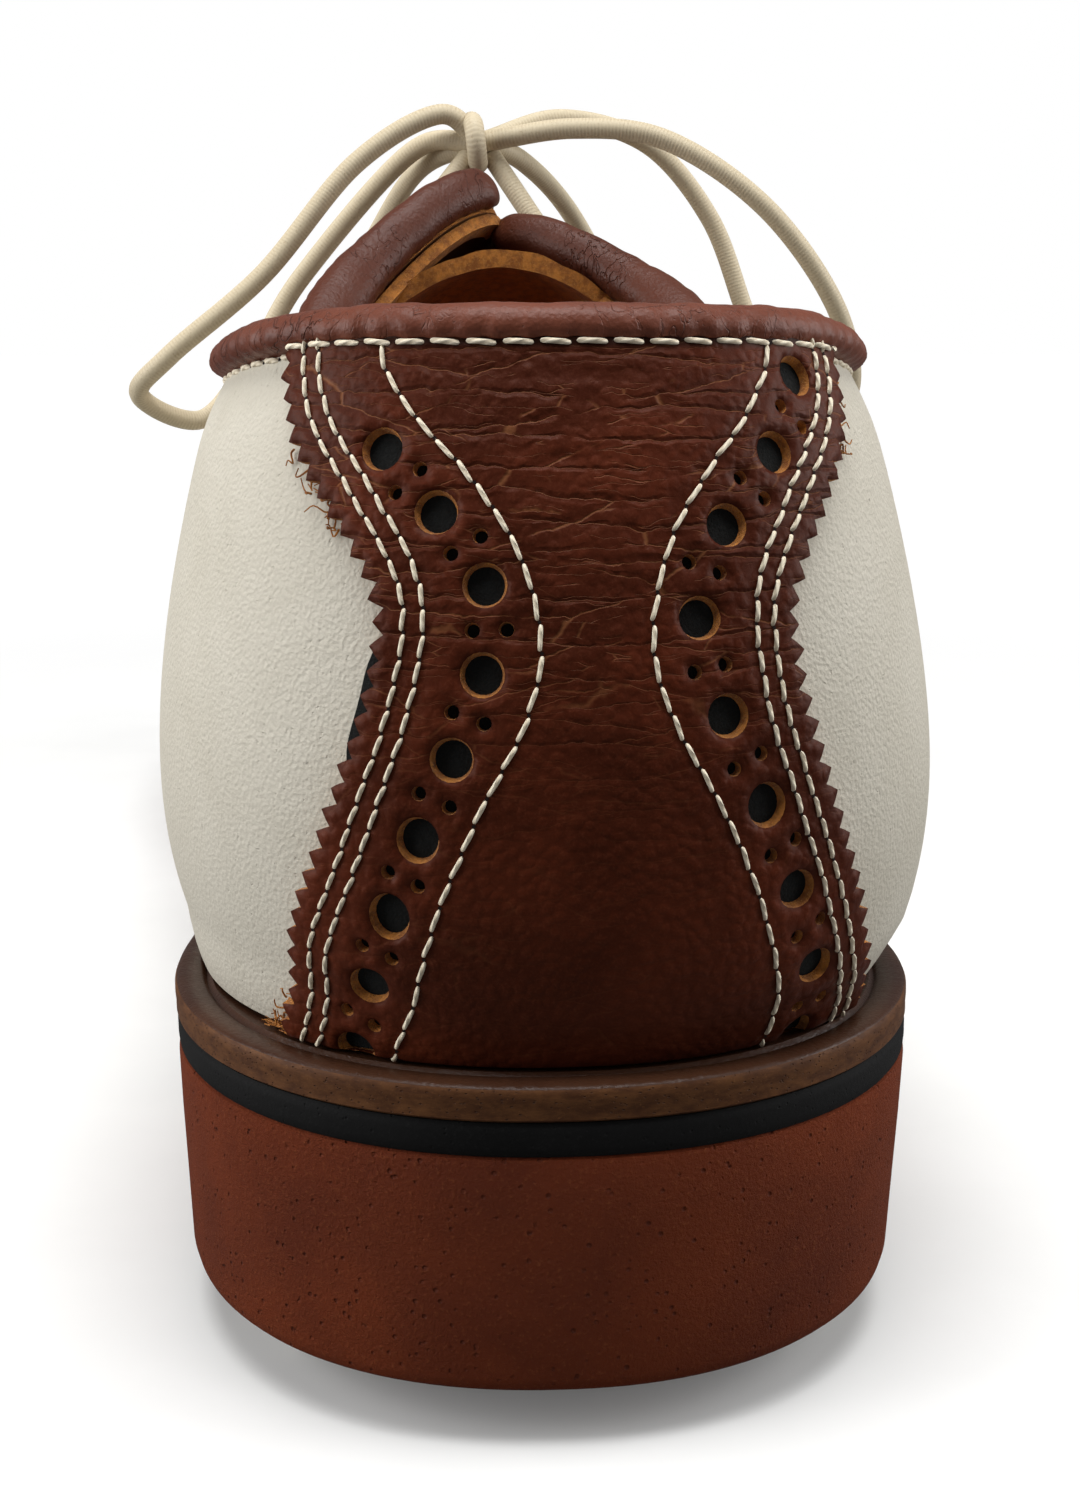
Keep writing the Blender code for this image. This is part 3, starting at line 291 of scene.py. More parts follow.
def curve(points, pieces=12):
    """A Catmull-Rom curve through points of any dimension."""
    points = np.asarray(points, float)
    padded = np.concatenate([[2 * points[0] - points[1]], points, [2 * points[-1] - points[-2]]])
    t = (np.arange(pieces) / pieces)[:, None]
    path = []
    for before, start, end, after in zip(padded, padded[1:], padded[2:], padded[3:]):
        bend = 2 * before - 5 * start + 4 * end - after
        twist = 3 * start - before - 3 * end + after
        path.append(0.5 * (2 * start + (end - before) * t + bend * t**2 + twist * t**3))
    return np.concatenate(path + [points[-1:]])


def even(chart, path, pitch, split=1):
    """The path's places at an even pitch in space, with each interval split into so many."""
    run = path_length(lay(chart, path, COVER))
    return sample(path, run, np.linspace(0, run[-1], split * max(1, round(run[-1] / pitch)) + 1))


def gimped(chart, path, pitch=2.05, depth=1.05, samples=6):
    """The path cut into pinking teeth that stand out to its right."""
    run = even(chart, path, pitch)
    teeth = len(run) - 1
    fine = np.linspace(0, teeth, teeth * samples + 1)
    places = sample(run, np.arange(teeth + 1), fine)
    uneven = RANDOM.uniform(0.8, 1.15, teeth + 1)[fine.astype(int)]
    height = (1 - np.abs(2 * (fine % 1) - 1)) ** 0.85 * depth * uneven
    return shifted(chart, places, height - depth / 2)


def circle(chart, centre, radius, sides=22):
    """A round hole's edge in a chart, round in space."""
    frames = stretch(chart, np.array([centre], float))[0]
    u = frames[:, 0] / np.linalg.norm(frames[:, 0])
    out = np.cross(frames[:, 0], frames[:, 1])
    v = np.cross(out / np.linalg.norm(out), u)
    turn = np.linspace(0, 2 * math.pi, sides, endpoint=False)
    ring = radius * (np.cos(turn)[:, None] * u + np.sin(turn)[:, None] * v)
    return np.array(centre) + ring @ np.linalg.pinv(frames).T


# ---------------------------------------------------------------- meshes

RANDOM = np.random.default_rng(7)


def link(name, vertices, faces, materials, body="shoe", slot=None, replaces=(), face_material=None, sharp=40):
    """A shown piece from millimetre vertices, riding on a CAD body."""
    mesh = bpy.data.meshes.new(name)
    vertices = np.asarray(vertices, float) * MM
    mesh.from_pydata(vertices.tolist(), [], [tuple(int(i) for i in face) for face in faces])
    for material in materials:
        mesh.materials.append(material)
    if face_material is not None:
        mesh.polygons.foreach_set("material_index", np.asarray(face_material, np.int32))
    mesh.shade_smooth()
    mesh.set_sharp_from_angle(angle=math.radians(sharp))
    made = bpy.data.objects.new(name, mesh)
    bpy.context.scene.collection.objects.link(made)
    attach(made, body)
    if replaces:
        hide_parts(*replaces)
    return made


def point_value(made, name, values):
    """Stores one number per vertex for the materials to read."""
    made.data.attributes.new(name, "FLOAT", "POINT").data.foreach_set("value", np.asarray(values, np.float32))


def inside(points, loop):
    """Which points lie inside a closed loop."""
    found = np.zeros(len(points), bool)
    after = np.roll(loop, -1, axis=0)
    for start in range(0, len(points), 4000):
        x, y = points[start : start + 4000].T[:, :, None]
        spans = (loop[:, 1] > y) != (after[:, 1] > y)
        rise = np.where(after[:, 1] == loop[:, 1], 1e-12, after[:, 1] - loop[:, 1])
        cross = (after[:, 0] - loop[:, 0]) * (y - loop[:, 1]) / rise + loop[:, 0]
        found[start : start + 4000] = (spans & (x < cross)).sum(axis=1) % 2 == 1
    return found


def distance(points, targets):
    """Each point's distance to the nearest of the targets."""
    tree = kdtree.KDTree(len(targets))
    for i, target in enumerate(targets):
        tree.insert((*target, 0), i)
    tree.balance()
    return np.array([tree.find((*point, 0))[2] for point in points])


HOLE_TAPER = 0.86  # a punched hole's width on the inner face, against the outer


def with_short_sides(loop, longest):
    """The loop with points added along its long sides, so that each side bends with the last."""
    points = []
    for here, after in zip(loop, np.roll(loop, -1, axis=0)):
        parts = max(1, math.ceil(float(np.hypot(*(after - here))) / longest))
        points += [here + (after - here) * k / parts for k in range(parts)]
    return np.array(points)


def patch(
    name, chart, outline, low, high, spacing, materials, holes=(), relief=None, lip=0.3, base=None, **more
):
    """A leather piece cut along outline in a chart, with holes, laid between two offsets from the last.

    relief(places) adds to the outer offset and base(places) to both. The materials are for the outer face,
    the cut edges and the inner face. Each vertex keeps its distance from the nearest cut edge as rim.
    """
    outline = with_short_sides(outline, 1.5 * spacing)
    holes = [hole for hole in holes if np.isfinite(hole).all() and inside(hole, outline).all()]
    bounds = list(outline), *(list(hole) for hole in holes)
    fixed = np.concatenate([np.array(loop) for loop in bounds])
    edges, start = [], 0
    for loop in bounds:
        edges += [(start + i, start + (i + 1) % len(loop)) for i in range(len(loop))]
        start += len(loop)
    low_corner, high_corner = outline.min(axis=0), outline.max(axis=0)
    columns = np.arange(low_corner[0], high_corner[0], spacing)
    rows = np.arange(low_corner[1], high_corner[1], spacing * 0.87)
    x, y = np.meshgrid(columns, rows)
    x = x + (np.arange(len(rows)) % 2)[:, None] * spacing / 2
    free = points_from(x.ravel(), y.ravel())
    free = free[inside(free, outline)]
    for hole in holes:
        middle = hole.mean(axis=0)
        free = free[np.hypot(*(free - middle).T) > np.hypot(*(hole - middle).T).max() * 0.9]
    free = free[distance(free, fixed) > spacing * 0.45]
    places = np.concatenate([fixed, free])
    cut = geometry.delaunay_2d_cdt([Vector(p) for p in places], edges, [], 0, 1e-6)
    places, triangles = np.array([tuple(p) for p in cut[0]]), np.array([tuple(f) for f in cut[2]])
    middles = places[triangles].mean(axis=1)
    kept = inside(middles, outline)
    for hole in holes:
        near = np.hypot(*(middles - hole.mean(axis=0)).T) < 6
        kept[near] &= ~inside(middles[near], hole)
    triangles = triangles[kept]
    used, index = np.unique(triangles, return_inverse=True)
    places, triangles = places[used], index.reshape(-1, 3)
    rim = distance(places, fixed)
    lift = relief(places) if relief else 0
    rounding = lip * np.clip(1 - rim / 0.55, 0, 1) ** 2
    raised = base(places) if base else 0
    top = lay(chart, places, high + raised + lift - rounding)
    under = places.copy()
    for hole in holes:
        middle = hole.mean(axis=0)
        on_edge = np.hypot(*(places - middle).T) < np.hypot(*(hole - middle).T).max() * 1.02
        under[on_edge] = middle + (places[on_edge] - middle) * HOLE_TAPER
    bottom = lay(chart, under, low + raised)
    first, second, third = top[triangles].transpose(1, 0, 2)
    outward = (top - bottom)[triangles[:, 0]]
    if (np.cross(second - first, third - first) * outward).sum() < 0:
        triangles = triangles[:, ::-1]
    count = len(places)
    sides = np.concatenate([triangles[:, [0, 1]], triangles[:, [1, 2]], triangles[:, [2, 0]]])
    keys = {(int(a), int(b)) for a, b in sides}
    open_sides = [(a, b) for a, b in keys if (b, a) not in keys]
    faces = [tuple(t) for t in triangles] + [tuple(t[::-1] + count) for t in triangles]
    faces += [(b, a, a + count, b + count) for a, b in sorted(open_sides)]
    kind = [0] * len(triangles) + [len(materials) - 1] * len(triangles) + [1] * len(open_sides)
    made = link(name, np.concatenate([top, bottom]), faces, materials, face_material=kind, **more)
    point_value(made, "rim", np.concatenate([rim, np.zeros(count)]))
    point_value(made, "girth", np.tile(places[:, 1], 2))


def tube_rings(path, radius, sides, across=None, flat=1.0):
    """Rings of points round a path (n, 3), carried along it without twist."""
    path = np.asarray(path, float)
    run = unit(np.gradient(path, axis=0))
    radius = np.broadcast_to(radius, len(path))
    if across is None:
        across = np.cross(run[0], (0.3, 0.2, 1.0))
    turn = np.linspace(0, 2 * math.pi, sides, endpoint=False)
    rings = []
    for point, direction, r in zip(path, run, radius):
        across = unit(across - direction * (across @ direction))
        other = np.cross(direction, across)
        rings.append(point + r * (np.cos(turn)[:, None] * across + flat * np.sin(turn)[:, None] * other))
    return np.array(rings)


def ring_faces(count, sides, start=0, closed=False):
    """Faces between rings of a tube, with caps unless it is closed."""
    faces = []
    for i in range(count if closed else count - 1):
        here, beyond = start + i * sides, start + (i + 1) % count * sides
        for k in range(sides):
            after = (k + 1) % sides
            faces.append((here + k, here + after, beyond + after, beyond + k))
    if not closed:
        faces.append(tuple(range(start + sides - 1, start - 1, -1)))
        faces.append(tuple(start + (count - 1) * sides + k for k in range(sides)))
    return faces


def tubes(lines, radius, sides):
    """Vertices and faces of capped tubes along several lines."""
    vertices, faces, start = [], [], 0
    for line in lines:
        vertices.append(tube_rings(line, radius, sides).reshape(-1, 3))
        faces += ring_faces(len(line), sides, start)
        start += len(line) * sides
    return np.concatenate(vertices), faces


def add_threads(made, lines, sides):
    """Stores the length along each line in millimetres and the turn round it, for the material."""
    along = np.concatenate([np.repeat(path_length(line), sides) for line in lines])
    along = np.concatenate([along, np.zeros(len(made.data.vertices) - len(along))])
    point_value(made, "along", along)
    turn = 2 * math.pi * np.tile(np.arange(sides) / sides, len(along) // sides + 1)[: len(along)]
    point_value(made, "turn_x", np.cos(turn))
    point_value(made, "turn_y", np.sin(turn))


STITCH_RINGS, STITCH_SIDES = 9, 8
STITCH_SPAN, STITCH_SLANT = 0.94, 0.09  # a stitch's share of the pitch, and its lean off the row


def offset_of(offset, places):
    return offset(places) if callable(offset) else offset


def stitching(name, rows, pitch=2.05, radius=0.2):
    """Lockstitch rows of (chart, path, offset, pitch if its own): threads with a dark disc of painted shade
    at the needle hole at each end.
    """
    lines, holes = [], []
    share = np.linspace(-1, 1, STITCH_RINGS)
    width = radius * np.sqrt(np.clip(1.12 - np.abs(share) ** 4, 0.12, 1))
    height = radius * 0.55 - 2.4 * radius * np.abs(share) ** 6
    turn = np.linspace(0, 2 * math.pi, STITCH_SIDES, endpoint=False)[:, None]
    for chart, path, offset, *own_pitch in rows:
        places = even(chart, path, *(own_pitch or (pitch,)))
        count = len(places) - 1
        at = ((np.arange(count) + 0.5)[:, None] + share[None, :] * STITCH_SPAN / 2).ravel()
        spread = sample(places, np.arange(count + 1), at)
        lean = (STITCH_SLANT * share)[None, :] * np.ones((count, 1))
        rise = (height[None, :] + RANDOM.uniform(-0.03, 0.03, (count, 1))).ravel()
        side = (lean * RANDOM.uniform(0.2, 1.8, (count, 1)) + RANDOM.uniform(-0.05, 0.05, (count, 1))).ravel()
        spread = shifted(chart, spread, side)
        lines.extend(lay(chart, spread, offset_of(offset, spread) + rise).reshape(count, STITCH_RINGS, 3))
        # Painted shade: a flat dark disc just over the leather stands for each needle hole.
        frames = stretch(chart, places)
        u, normal = unit(frames[..., 0]), unit(np.cross(frames[..., 0], frames[..., 1]))
        ring = np.cos(turn) * u[:, None] + np.sin(turn) * np.cross(normal, u)[:, None]
        middle = lay(chart, places, offset_of(offset, places) + 0.035)
        holes.append((middle[:, None] + 0.8 * radius * ring).reshape(-1, 3))
    vertices, faces = tubes(lines, width, STITCH_SIDES)
    holes = np.concatenate(holes)
    kinds = [0] * len(faces) + [1] * (len(holes) // STITCH_SIDES)
    for start in range(len(vertices), len(vertices) + len(holes), STITCH_SIDES):
        faces.append(tuple(range(start, start + STITCH_SIDES)))
    vertices = np.concatenate([vertices, holes])
    made = link(name, vertices, faces, (THREAD, NEEDLE_HOLE_SHADE), face_material=kinds, sharp=70)
    add_threads(made, lines, STITCH_SIDES)


# ---------------------------------------------------------------- materials

SHEEN = 0.22  # how strongly leather and rubber mirror the room


class Shader:
    """A small wrapper for building a Principled material from nodes."""

    def __init__(self, name):
        self.material = bpy.data.materials.new(name)
        self.material.use_nodes = True
        self.tree = self.material.node_tree
        self.surface = self.tree.nodes["Principled BSDF"]
        self.place = self.add("ShaderNodeTexCoord").outputs["Object"]

    def add(self, kind, inputs=None, **settings):
        node = self.tree.nodes.new(kind)
        for key, value in settings.items():
            setattr(node, key, value)
        for key, value in (inputs or {}).items():
            self.set(node.inputs[key], value)
        return node

    def set(self, socket, value):
        if isinstance(value, bpy.types.NodeSocket):
            self.tree.links.new(value, socket)
        else:
            socket.default_value = value

    def attribute(self, name):
        return self.add("ShaderNodeAttribute", attribute_name=name).outputs["Fac"]

    def scaled(self, factors):
        """Object coordinates in millimetres, stretched by three factors."""
        mapping = self.add("ShaderNodeMapping", {"Vector": self.place, "Scale": [f / MM for f in factors]})
        return mapping.outputs["Vector"]

    def noise(self, scale, detail=3.0, rough=0.55, warp=0.0, factors=(1, 1, 1)):
        inputs = {"Vector": self.scaled(factors), "Scale": scale, "Detail": detail, "Roughness": rough}
        inputs["Distortion"] = warp
        return self.add("ShaderNodeTexNoise", inputs).outputs["Fac"]

    def cells(self, scale, feature="F1", factors=(1, 1, 1), smooth=None, vector=None):
        inputs = {"Vector": vector or self.scaled(factors), "Scale": scale}
        node = self.add("ShaderNodeTexVoronoi", inputs, feature=feature)
        if smooth is not None:
            node.inputs["Smoothness"].default_value = smooth
        return node.outputs["Distance"]

    def math(self, operation, a, b=0.0):
        return self.add("ShaderNodeMath", {0: a, 1: b}, operation=operation).outputs[0]

    def times(self, a, b):
        return self.math("MULTIPLY", a, b)

    def vector_math(self, operation, a, b):
        return self.add("ShaderNodeVectorMath", {0: a, 1: b}, operation=operation).outputs[0]

    def ramp(self, value, low, high, out_low=0.0, out_high=1.0):
        inputs = {"Value": value, "From Min": low, "From Max": high, "To Min": out_low, "To Max": out_high}
        return self.add("ShaderNodeMapRange", inputs, interpolation_type="SMOOTHSTEP").outputs["Result"]

    def mix(self, share, a, b, blend="MIX"):
        node = self.add("ShaderNodeMix", data_type="RGBA", blend_type=blend, clamp_factor=True)
        self.set(node.inputs[0], share)
        for socket, value in ((node.inputs[6], a), (node.inputs[7], b)):
            self.set(socket, value if isinstance(value, bpy.types.NodeSocket) else (*value, 1))
        return node.outputs[2]

    def bump(self, height, depth, after=None):
        inputs = {"Height": height, "Distance": depth * MM, "Strength": 1.0}
        if after is not None:
            inputs["Normal"] = after
        return self.add("ShaderNodeBump", inputs).outputs["Normal"]

    def finish(self, colour, roughness, normal=None, **others):
        self.set(self.surface.inputs["Base Color"], colour if not isinstance(colour, tuple) else (*colour, 1))
        self.set(self.surface.inputs["Roughness"], roughness)
        if normal is not None:
            self.set(self.surface.inputs["Normal"], normal)
        others.setdefault("Specular_IOR_Level", SHEEN)
        for key, value in others.items():
            self.set(self.surface.inputs[key.replace("_", " ")], value)
        return self.material


def pebbled_leather(name, deep, middle, light, rough=0.42, grain=0.10, creases=0.0):
    """Tumbled full-grain leather: soft pebbles, cloudy colour and, with creases, a net of level cracks."""
    s = Shader(name)
    wander = s.add("ShaderNodeTexNoise", {"Vector": s.scaled((1, 1, 1)), "Scale": 0.45, "Detail": 3.0})
    warp = s.vector_math("MULTIPLY", wander.outputs["Color"], (0.9, 0.9, 0.9))
    pebble_place = s.vector_math("ADD", s.scaled((1, 1, 1)), warp)
    pebble = s.cells(1.05, "SMOOTH_F1", smooth=0.45, vector=pebble_place)
    pillow = s.ramp(pebble, 0.15, 0.75, 1.0, 0.0)
    fine = s.noise(4.2, 5.0, 0.6)
    cloud = s.noise(0.075, 3.0, 0.55)
    colour = s.mix(s.ramp(cloud, 0.35, 0.68), deep, middle)
    colour = s.mix(s.ramp(fine, 0.45, 0.8, 0.0, 0.22), colour, light)
    colour = s.mix(s.ramp(pillow, 0.0, 0.6, 0.30, 0.0), colour, deep)
    height = s.math("ADD", s.times(pillow, 0.75), s.times(fine, 0.22))
    normal = s.bump(height, grain)
    if creases:
        colour, normal = cracked(s, colour, deep, normal, warp, creases)
    edge = s.ramp(s.attribute("rim"), 0.0, 0.3, 0.6, 0.0)
    colour = s.mix(edge, colour, deep)
    return s.finish(
        colour, s.ramp(fine, 0.2, 0.8, rough - 0.06, rough + 0.1), normal, Coat_Weight=0.03,
        Coat_Roughness=0.35, Specular_IOR_Level=0.09, Specular_Tint=(1.0, 0.52, 0.38, 1.0),
        Coat_Tint=(1.0, 0.6, 0.5, 1.0),
    )


def cracked(s, colour, deep, normal, warp, depth):
    """Adds the net of cracks, mostly level and mostly high on the heel, with painted shade in their valleys,
    and the painted shade under the piping.
    """
    drift = s.vector_math("MULTIPLY", warp, (0.08, 0.08, 0.5))
    level = s.vector_math("ADD", s.scaled((0.055, 0.055, 0.44)), drift)
    net = s.cells(1.0, "DISTANCE_TO_EDGE", vector=level)
    second = s.cells(2.1, "DISTANCE_TO_EDGE", vector=level)
    girth = s.attribute("girth")
    upper = s.ramp(girth, 22, 42, 0.12, 1.0)
    patchy = s.times(s.ramp(s.noise(0.16, 3.0, 0.6), 0.36, 0.50), upper)
    patchy_thin = s.times(s.ramp(s.noise(0.30, 2.0, 0.6), 0.46, 0.58), upper)
    valley = s.times(s.ramp(net, 0.0, 0.14, 1.0, 0.0), patchy)
    crack = s.times(s.ramp(net, 0.0, 0.017, 1.0, 0.0), patchy)
    thin = s.times(s.ramp(second, 0.0, 0.026, 1.0, 0.0), patchy_thin)
    sunk = s.math("ADD", valley, s.math("ADD", s.times(crack, 0.4), s.times(thin, 0.4)))
    normal = s.bump(s.times(sunk, -1.0), depth, normal)
    # Painted shade: the broad valley round each crack is darkened towards deep, beside the tan of the crack
    # itself.
    colour = s.mix(s.times(valley, 0.3), colour, deep)
    colour = s.mix(s.times(crack, 0.5), colour, CRACK)
    colour = s.mix(s.times(thin, 0.4), colour, CRACK)
    # Painted shade: above that girth the foxing darkens towards SHADOW, where it tucks in under the piping.
    return s.mix(s.ramp(girth, PIPING_SHADE_GIRTH, PIPING_SHADE_GIRTH + 0.8, 0.0, 0.85), colour, SHADOW), normal


def smooth_leather(name, base, shade, pore, rough=0.55, grain=0.05, wrinkle=0.0, painted_shade_from=None):
    """Fine-grained dyed leather with shallow pits and soft mottling, with painted shade in its wrinkles and a
    painted shade that darkens it past a place along the shoe.
    """
    s = Shader(name)
    fine = s.noise(3.2, 5.0, 0.62)
    cells = s.cells(2.3, "SMOOTH_F1", smooth=0.6)
    cloud = s.noise(0.07, 4.0, 0.6, 0.4)
    specks = s.ramp(s.noise(1.7, 2.0, 0.5), 0.68, 0.76)
    colour = s.mix(s.ramp(cloud, 0.32, 0.72), base, shade)
    colour = s.mix(s.times(specks, 0.28), colour, pore)
    colour = s.mix(s.ramp(fine, 0.35, 0.75, 0.0, 0.14), colour, pore)
    if painted_shade_from is not None:
        # Painted shade: past that place along the shoe the colour darkens towards pore.
        forward = s.add("ShaderNodeSeparateXYZ", {"Vector": s.place}).outputs["Y"]
        colour = s.mix(s.ramp(forward, painted_shade_from * MM, (painted_shade_from + 40) * MM, 0.0, 0.65), colour, pore)
    height = s.math("ADD", s.times(cells, 0.6), s.times(fine, 0.7))
    height = s.math("SUBTRACT", height, s.times(specks, 0.5))
    normal = s.bump(height, grain)
    if wrinkle:
        fold = s.noise(0.42, 2.0, 0.5, 0.3, factors=(1.5, 1.5, 0.7))
        line = s.math("ABSOLUTE", s.math("SUBTRACT", fold, 0.5))
        sunk = s.times(s.ramp(line, 0.0, 0.022, 1.0, 0.0), s.ramp(cloud, 0.42, 0.6))
        normal = s.bump(s.times(sunk, -1.0), wrinkle, normal)
        # Painted shade along the wrinkle lines.
        colour = s.mix(s.times(sunk, 0.35), colour, pore)
    return s.finish(colour, s.ramp(fine, 0.3, 0.8, rough - 0.05, rough + 0.08), normal)


def raw_edge(name, base, dark, light):
    """Cut leather showing its fibres: fuzzy orange-tan suede."""
    s = Shader(name)
    fibre = s.noise(4.0, 6.0, 0.75, 1.2)
    clump = s.noise(0.9, 3.0, 0.6)
    colour = s.mix(s.ramp(clump, 0.35, 0.65), dark, base)
    colour = s.mix(s.ramp(fibre, 0.5, 0.75), colour, light)
    return s.finish(colour, 0.92, s.bump(fibre, 0.35), Sheen_Weight=0.12, Sheen_Roughness=0.5)


def waxed_thread(
    name, base, dark, turns_per_mm=0.75, depth=0.08, speck=0.35, rough=0.6, shade=0.45, ways=(1,)
):
    """Two-ply thread or, wound both ways, braided cord: strands round it, with painted shade in the grooves
    between them and darker specks.
    """
    s = Shader(name)
    along = s.attribute("along")
    angle = s.math("ARCTAN2", s.attribute("turn_y"), s.attribute("turn_x"))
    strands = []
    for way in ways:
        phase = s.math("ADD", s.times(along, 2 * math.pi * turns_per_mm), s.times(angle, way * 2.0))
        strands.append(s.math("SINE", phase))
    woven = strands[0] if len(strands) == 1 else s.times(*strands)
    fuzz = s.noise(3.5, 4.0, 0.7)
    # Painted shade: the grooves between the strands are darkened towards dark, by the share given as shade.
    colour = s.mix(s.ramp(woven, -1.0, 0.1, shade, 0.0), base, dark)
    colour = s.mix(s.ramp(fuzz, 0.52, 0.8, 0.0, speck), colour, dark)
    height = s.math("ADD", s.ramp(woven, -1, 1), s.times(fuzz, 0.35))
    return s.finish(colour, rough, s.bump(height, depth))


def rubber(name, base, dark, light, rough=0.72, pits=0.12, density=1.6):
    """Moulded and buffed crepe rubber, cloudy and finely pitted."""
    s = Shader(name)
    fine = s.noise(2.6, 5.0, 0.75)
    pocks = s.cells(density, "F1")
    sunk = s.ramp(pocks, 0.10, 0.26, 1.0, 0.0)
    sparse = s.ramp(s.noise(0.8, 2.0, 0.5), 0.42, 0.62)
    sunk = s.times(sunk, sparse)
    cloud = s.noise(0.05, 4.0, 0.6, 0.3)
    colour = s.mix(s.ramp(cloud, 0.3, 0.75, 0.0, 0.8), base, dark)
    colour = s.mix(s.ramp(fine, 0.52, 0.72, 0.0, 0.45), colour, light)
    colour = s.mix(s.times(sunk, 0.7), colour, dark)
    height = s.math("SUBTRACT", s.times(fine, 0.9), sunk)
    return s.finish(colour, rough, s.bump(height, pits), Specular_IOR_Level=0.10)


def stacked_edge(name, base, dark, light):
    """The trimmed edge of welt leather: dark pores and short paler streaks along it."""
    s = Shader(name)
    fibre = s.noise(0.8, 5.0, 0.7, 0.2, factors=(0.5, 0.5, 1.3))
    fine = s.noise(3.5, 4.0, 0.7)
    pores = s.cells(1.9, "F1", factors=(0.8, 0.8, 1.3))
    sunk = s.ramp(pores, 0.10, 0.22, 1.0, 0.0)
    colour = s.mix(s.ramp(fibre, 0.30, 0.75), dark, base)
    colour = s.mix(s.ramp(fine, 0.58, 0.75, 0.0, 0.35), colour, light)
    colour = s.mix(s.times(sunk, 0.7), colour, dark)
    height = s.math("SUBTRACT", s.times(fibre, 0.5), sunk)
    return s.finish(colour, 0.58, s.bump(height, 0.12), Specular_IOR_Level=0.12)


def plain(name, base, rough, metallic=0.0, wear=None, scale=2.0, depth=0.03):
    """Moulded plastic, metal, board or cloth: mottled colour, light scuffs and a fine surface."""
    s = Shader(name)
    fine = s.noise(scale, 4.0, 0.6)
    scuffs = s.ramp(s.noise(0.5, 5.0, 0.7), 0.55, 0.7)
    colour = s.mix(s.times(scuffs, 0.4), base, wear or tuple(c * 0.7 for c in base))
    roughness = s.ramp(fine, 0.3, 0.7, rough - 0.08, rough + 0.1)
    return s.finish(colour, roughness, s.bump(fine, depth), Metallic=metallic)


CRACK = (0.27, 0.11, 0.045)  # the tan of the leather where its finish has opened
SHADOW = (0.006, 0.002, 0.001)
PIPING_SHADE_GIRTH = 58.3  # girth above which the foxing is painted dark: painted shade where it tucks in under the piping
DEEP_BROWN, MIDDLE_BROWN = (0.050, 0.0102, 0.0044), (0.092, 0.0185, 0.0075)
BROWN = pebbled_leather("pebbled_brown_leather", DEEP_BROWN, MIDDLE_BROWN, (0.20, 0.062, 0.030), creases=0.12)
PLAIN_BROWN = pebbled_leather(
    "smooth_brown_leather", DEEP_BROWN, MIDDLE_BROWN, (0.18, 0.056, 0.027), grain=0.07
)
# The piping darkens forward of the heel along both facing arms: painted shade.
PIPING = smooth_leather(
    "piping_leather", (0.165, 0.047, 0.025), (0.120, 0.032, 0.017), (0.050, 0.013, 0.006), 0.42, 0.07, 0.16,
    painted_shade_from=-115.0,
)
CREAM = smooth_leather(
    "cream_leather", (0.63, 0.59, 0.50), (0.58, 0.54, 0.45), (0.40, 0.36, 0.29), 0.62, 0.12
)
SUEDE = raw_edge("raw_suede_edge", (0.62, 0.23, 0.035), (0.32, 0.10, 0.015), (0.85, 0.42, 0.10))
TONGUE_SUEDE = raw_edge("tongue_suede", (0.60, 0.155, 0.022), (0.40, 0.095, 0.015), (0.75, 0.27, 0.05))
CREAM_EDGE = raw_edge("raw_cream_edge", (0.52, 0.42, 0.30), (0.36, 0.27, 0.18), (0.70, 0.62, 0.48))
TAN = smooth_leather(
    "lining_leather", (0.20, 0.090, 0.035), (0.15, 0.065, 0.024), (0.08, 0.032, 0.012), 0.7
)
BLACK_CLOTH = plain(
    "black_underlay", (0.008, 0.009, 0.009), 0.9, wear=(0.03, 0.03, 0.028), scale=4.0, depth=0.15
)
THREAD = waxed_thread("sewing_thread", (0.88, 0.79, 0.62), (0.46, 0.35, 0.22))
CORD = waxed_thread(
    "lace_cord", (0.60, 0.515, 0.365), (0.33, 0.235, 0.13), 1.1, 0.03, 0.8, 0.5, 0.25, ways=(1, -1)
)
# Painted shade of the needle holes, on flat discs over the leather.
NEEDLE_HOLE_SHADE = plain("needle_hole_shade", (0.012, 0.006, 0.005), 0.9)
# Painted shade: the welt's top is coloured far darker than its trimmed edge, as the shade along the upper
# makes it look.
WELT_TOP = smooth_leather(
    "welt_top_leather", (0.060, 0.024, 0.012), (0.038, 0.014, 0.008), (0.015, 0.006, 0.004), 0.34
)
WELT_EDGE = stacked_edge(
    "welt_edge_leather", (0.130, 0.053, 0.019), (0.060, 0.022, 0.009), (0.30, 0.135, 0.050)
)
BLACK = rubber(
    "black_rubber_band", (0.008, 0.0078, 0.008), (0.004, 0.004, 0.004), (0.02, 0.02, 0.02), 0.7, 0.06
)
BRICK = rubber(
    "brick_rubber", (0.205, 0.038, 0.010), (0.110, 0.020, 0.007), (0.36, 0.105, 0.035), 0.6, 0.5, 1.0
)
BRASS = plain("aged_brass", (0.42, 0.27, 0.10), 0.32, 1.0, (0.12, 0.07, 0.03))
TIP = plain("aglet_plastic", (0.62, 0.52, 0.36), 0.25)
CLEAT = plain("cleat_plastic", (0.66, 0.63, 0.56), 0.42, wear=(0.50, 0.46, 0.38))
CUP = plain("receptacle_plastic", (0.022, 0.022, 0.025), 0.45)
FOOTBED = smooth_leather(
    "footbed_leather", (0.30, 0.145, 0.06), (0.22, 0.10, 0.04), (0.11, 0.045, 0.018), 0.66, 0.06
)


# ---------------------------------------------------------------- pattern of the upper

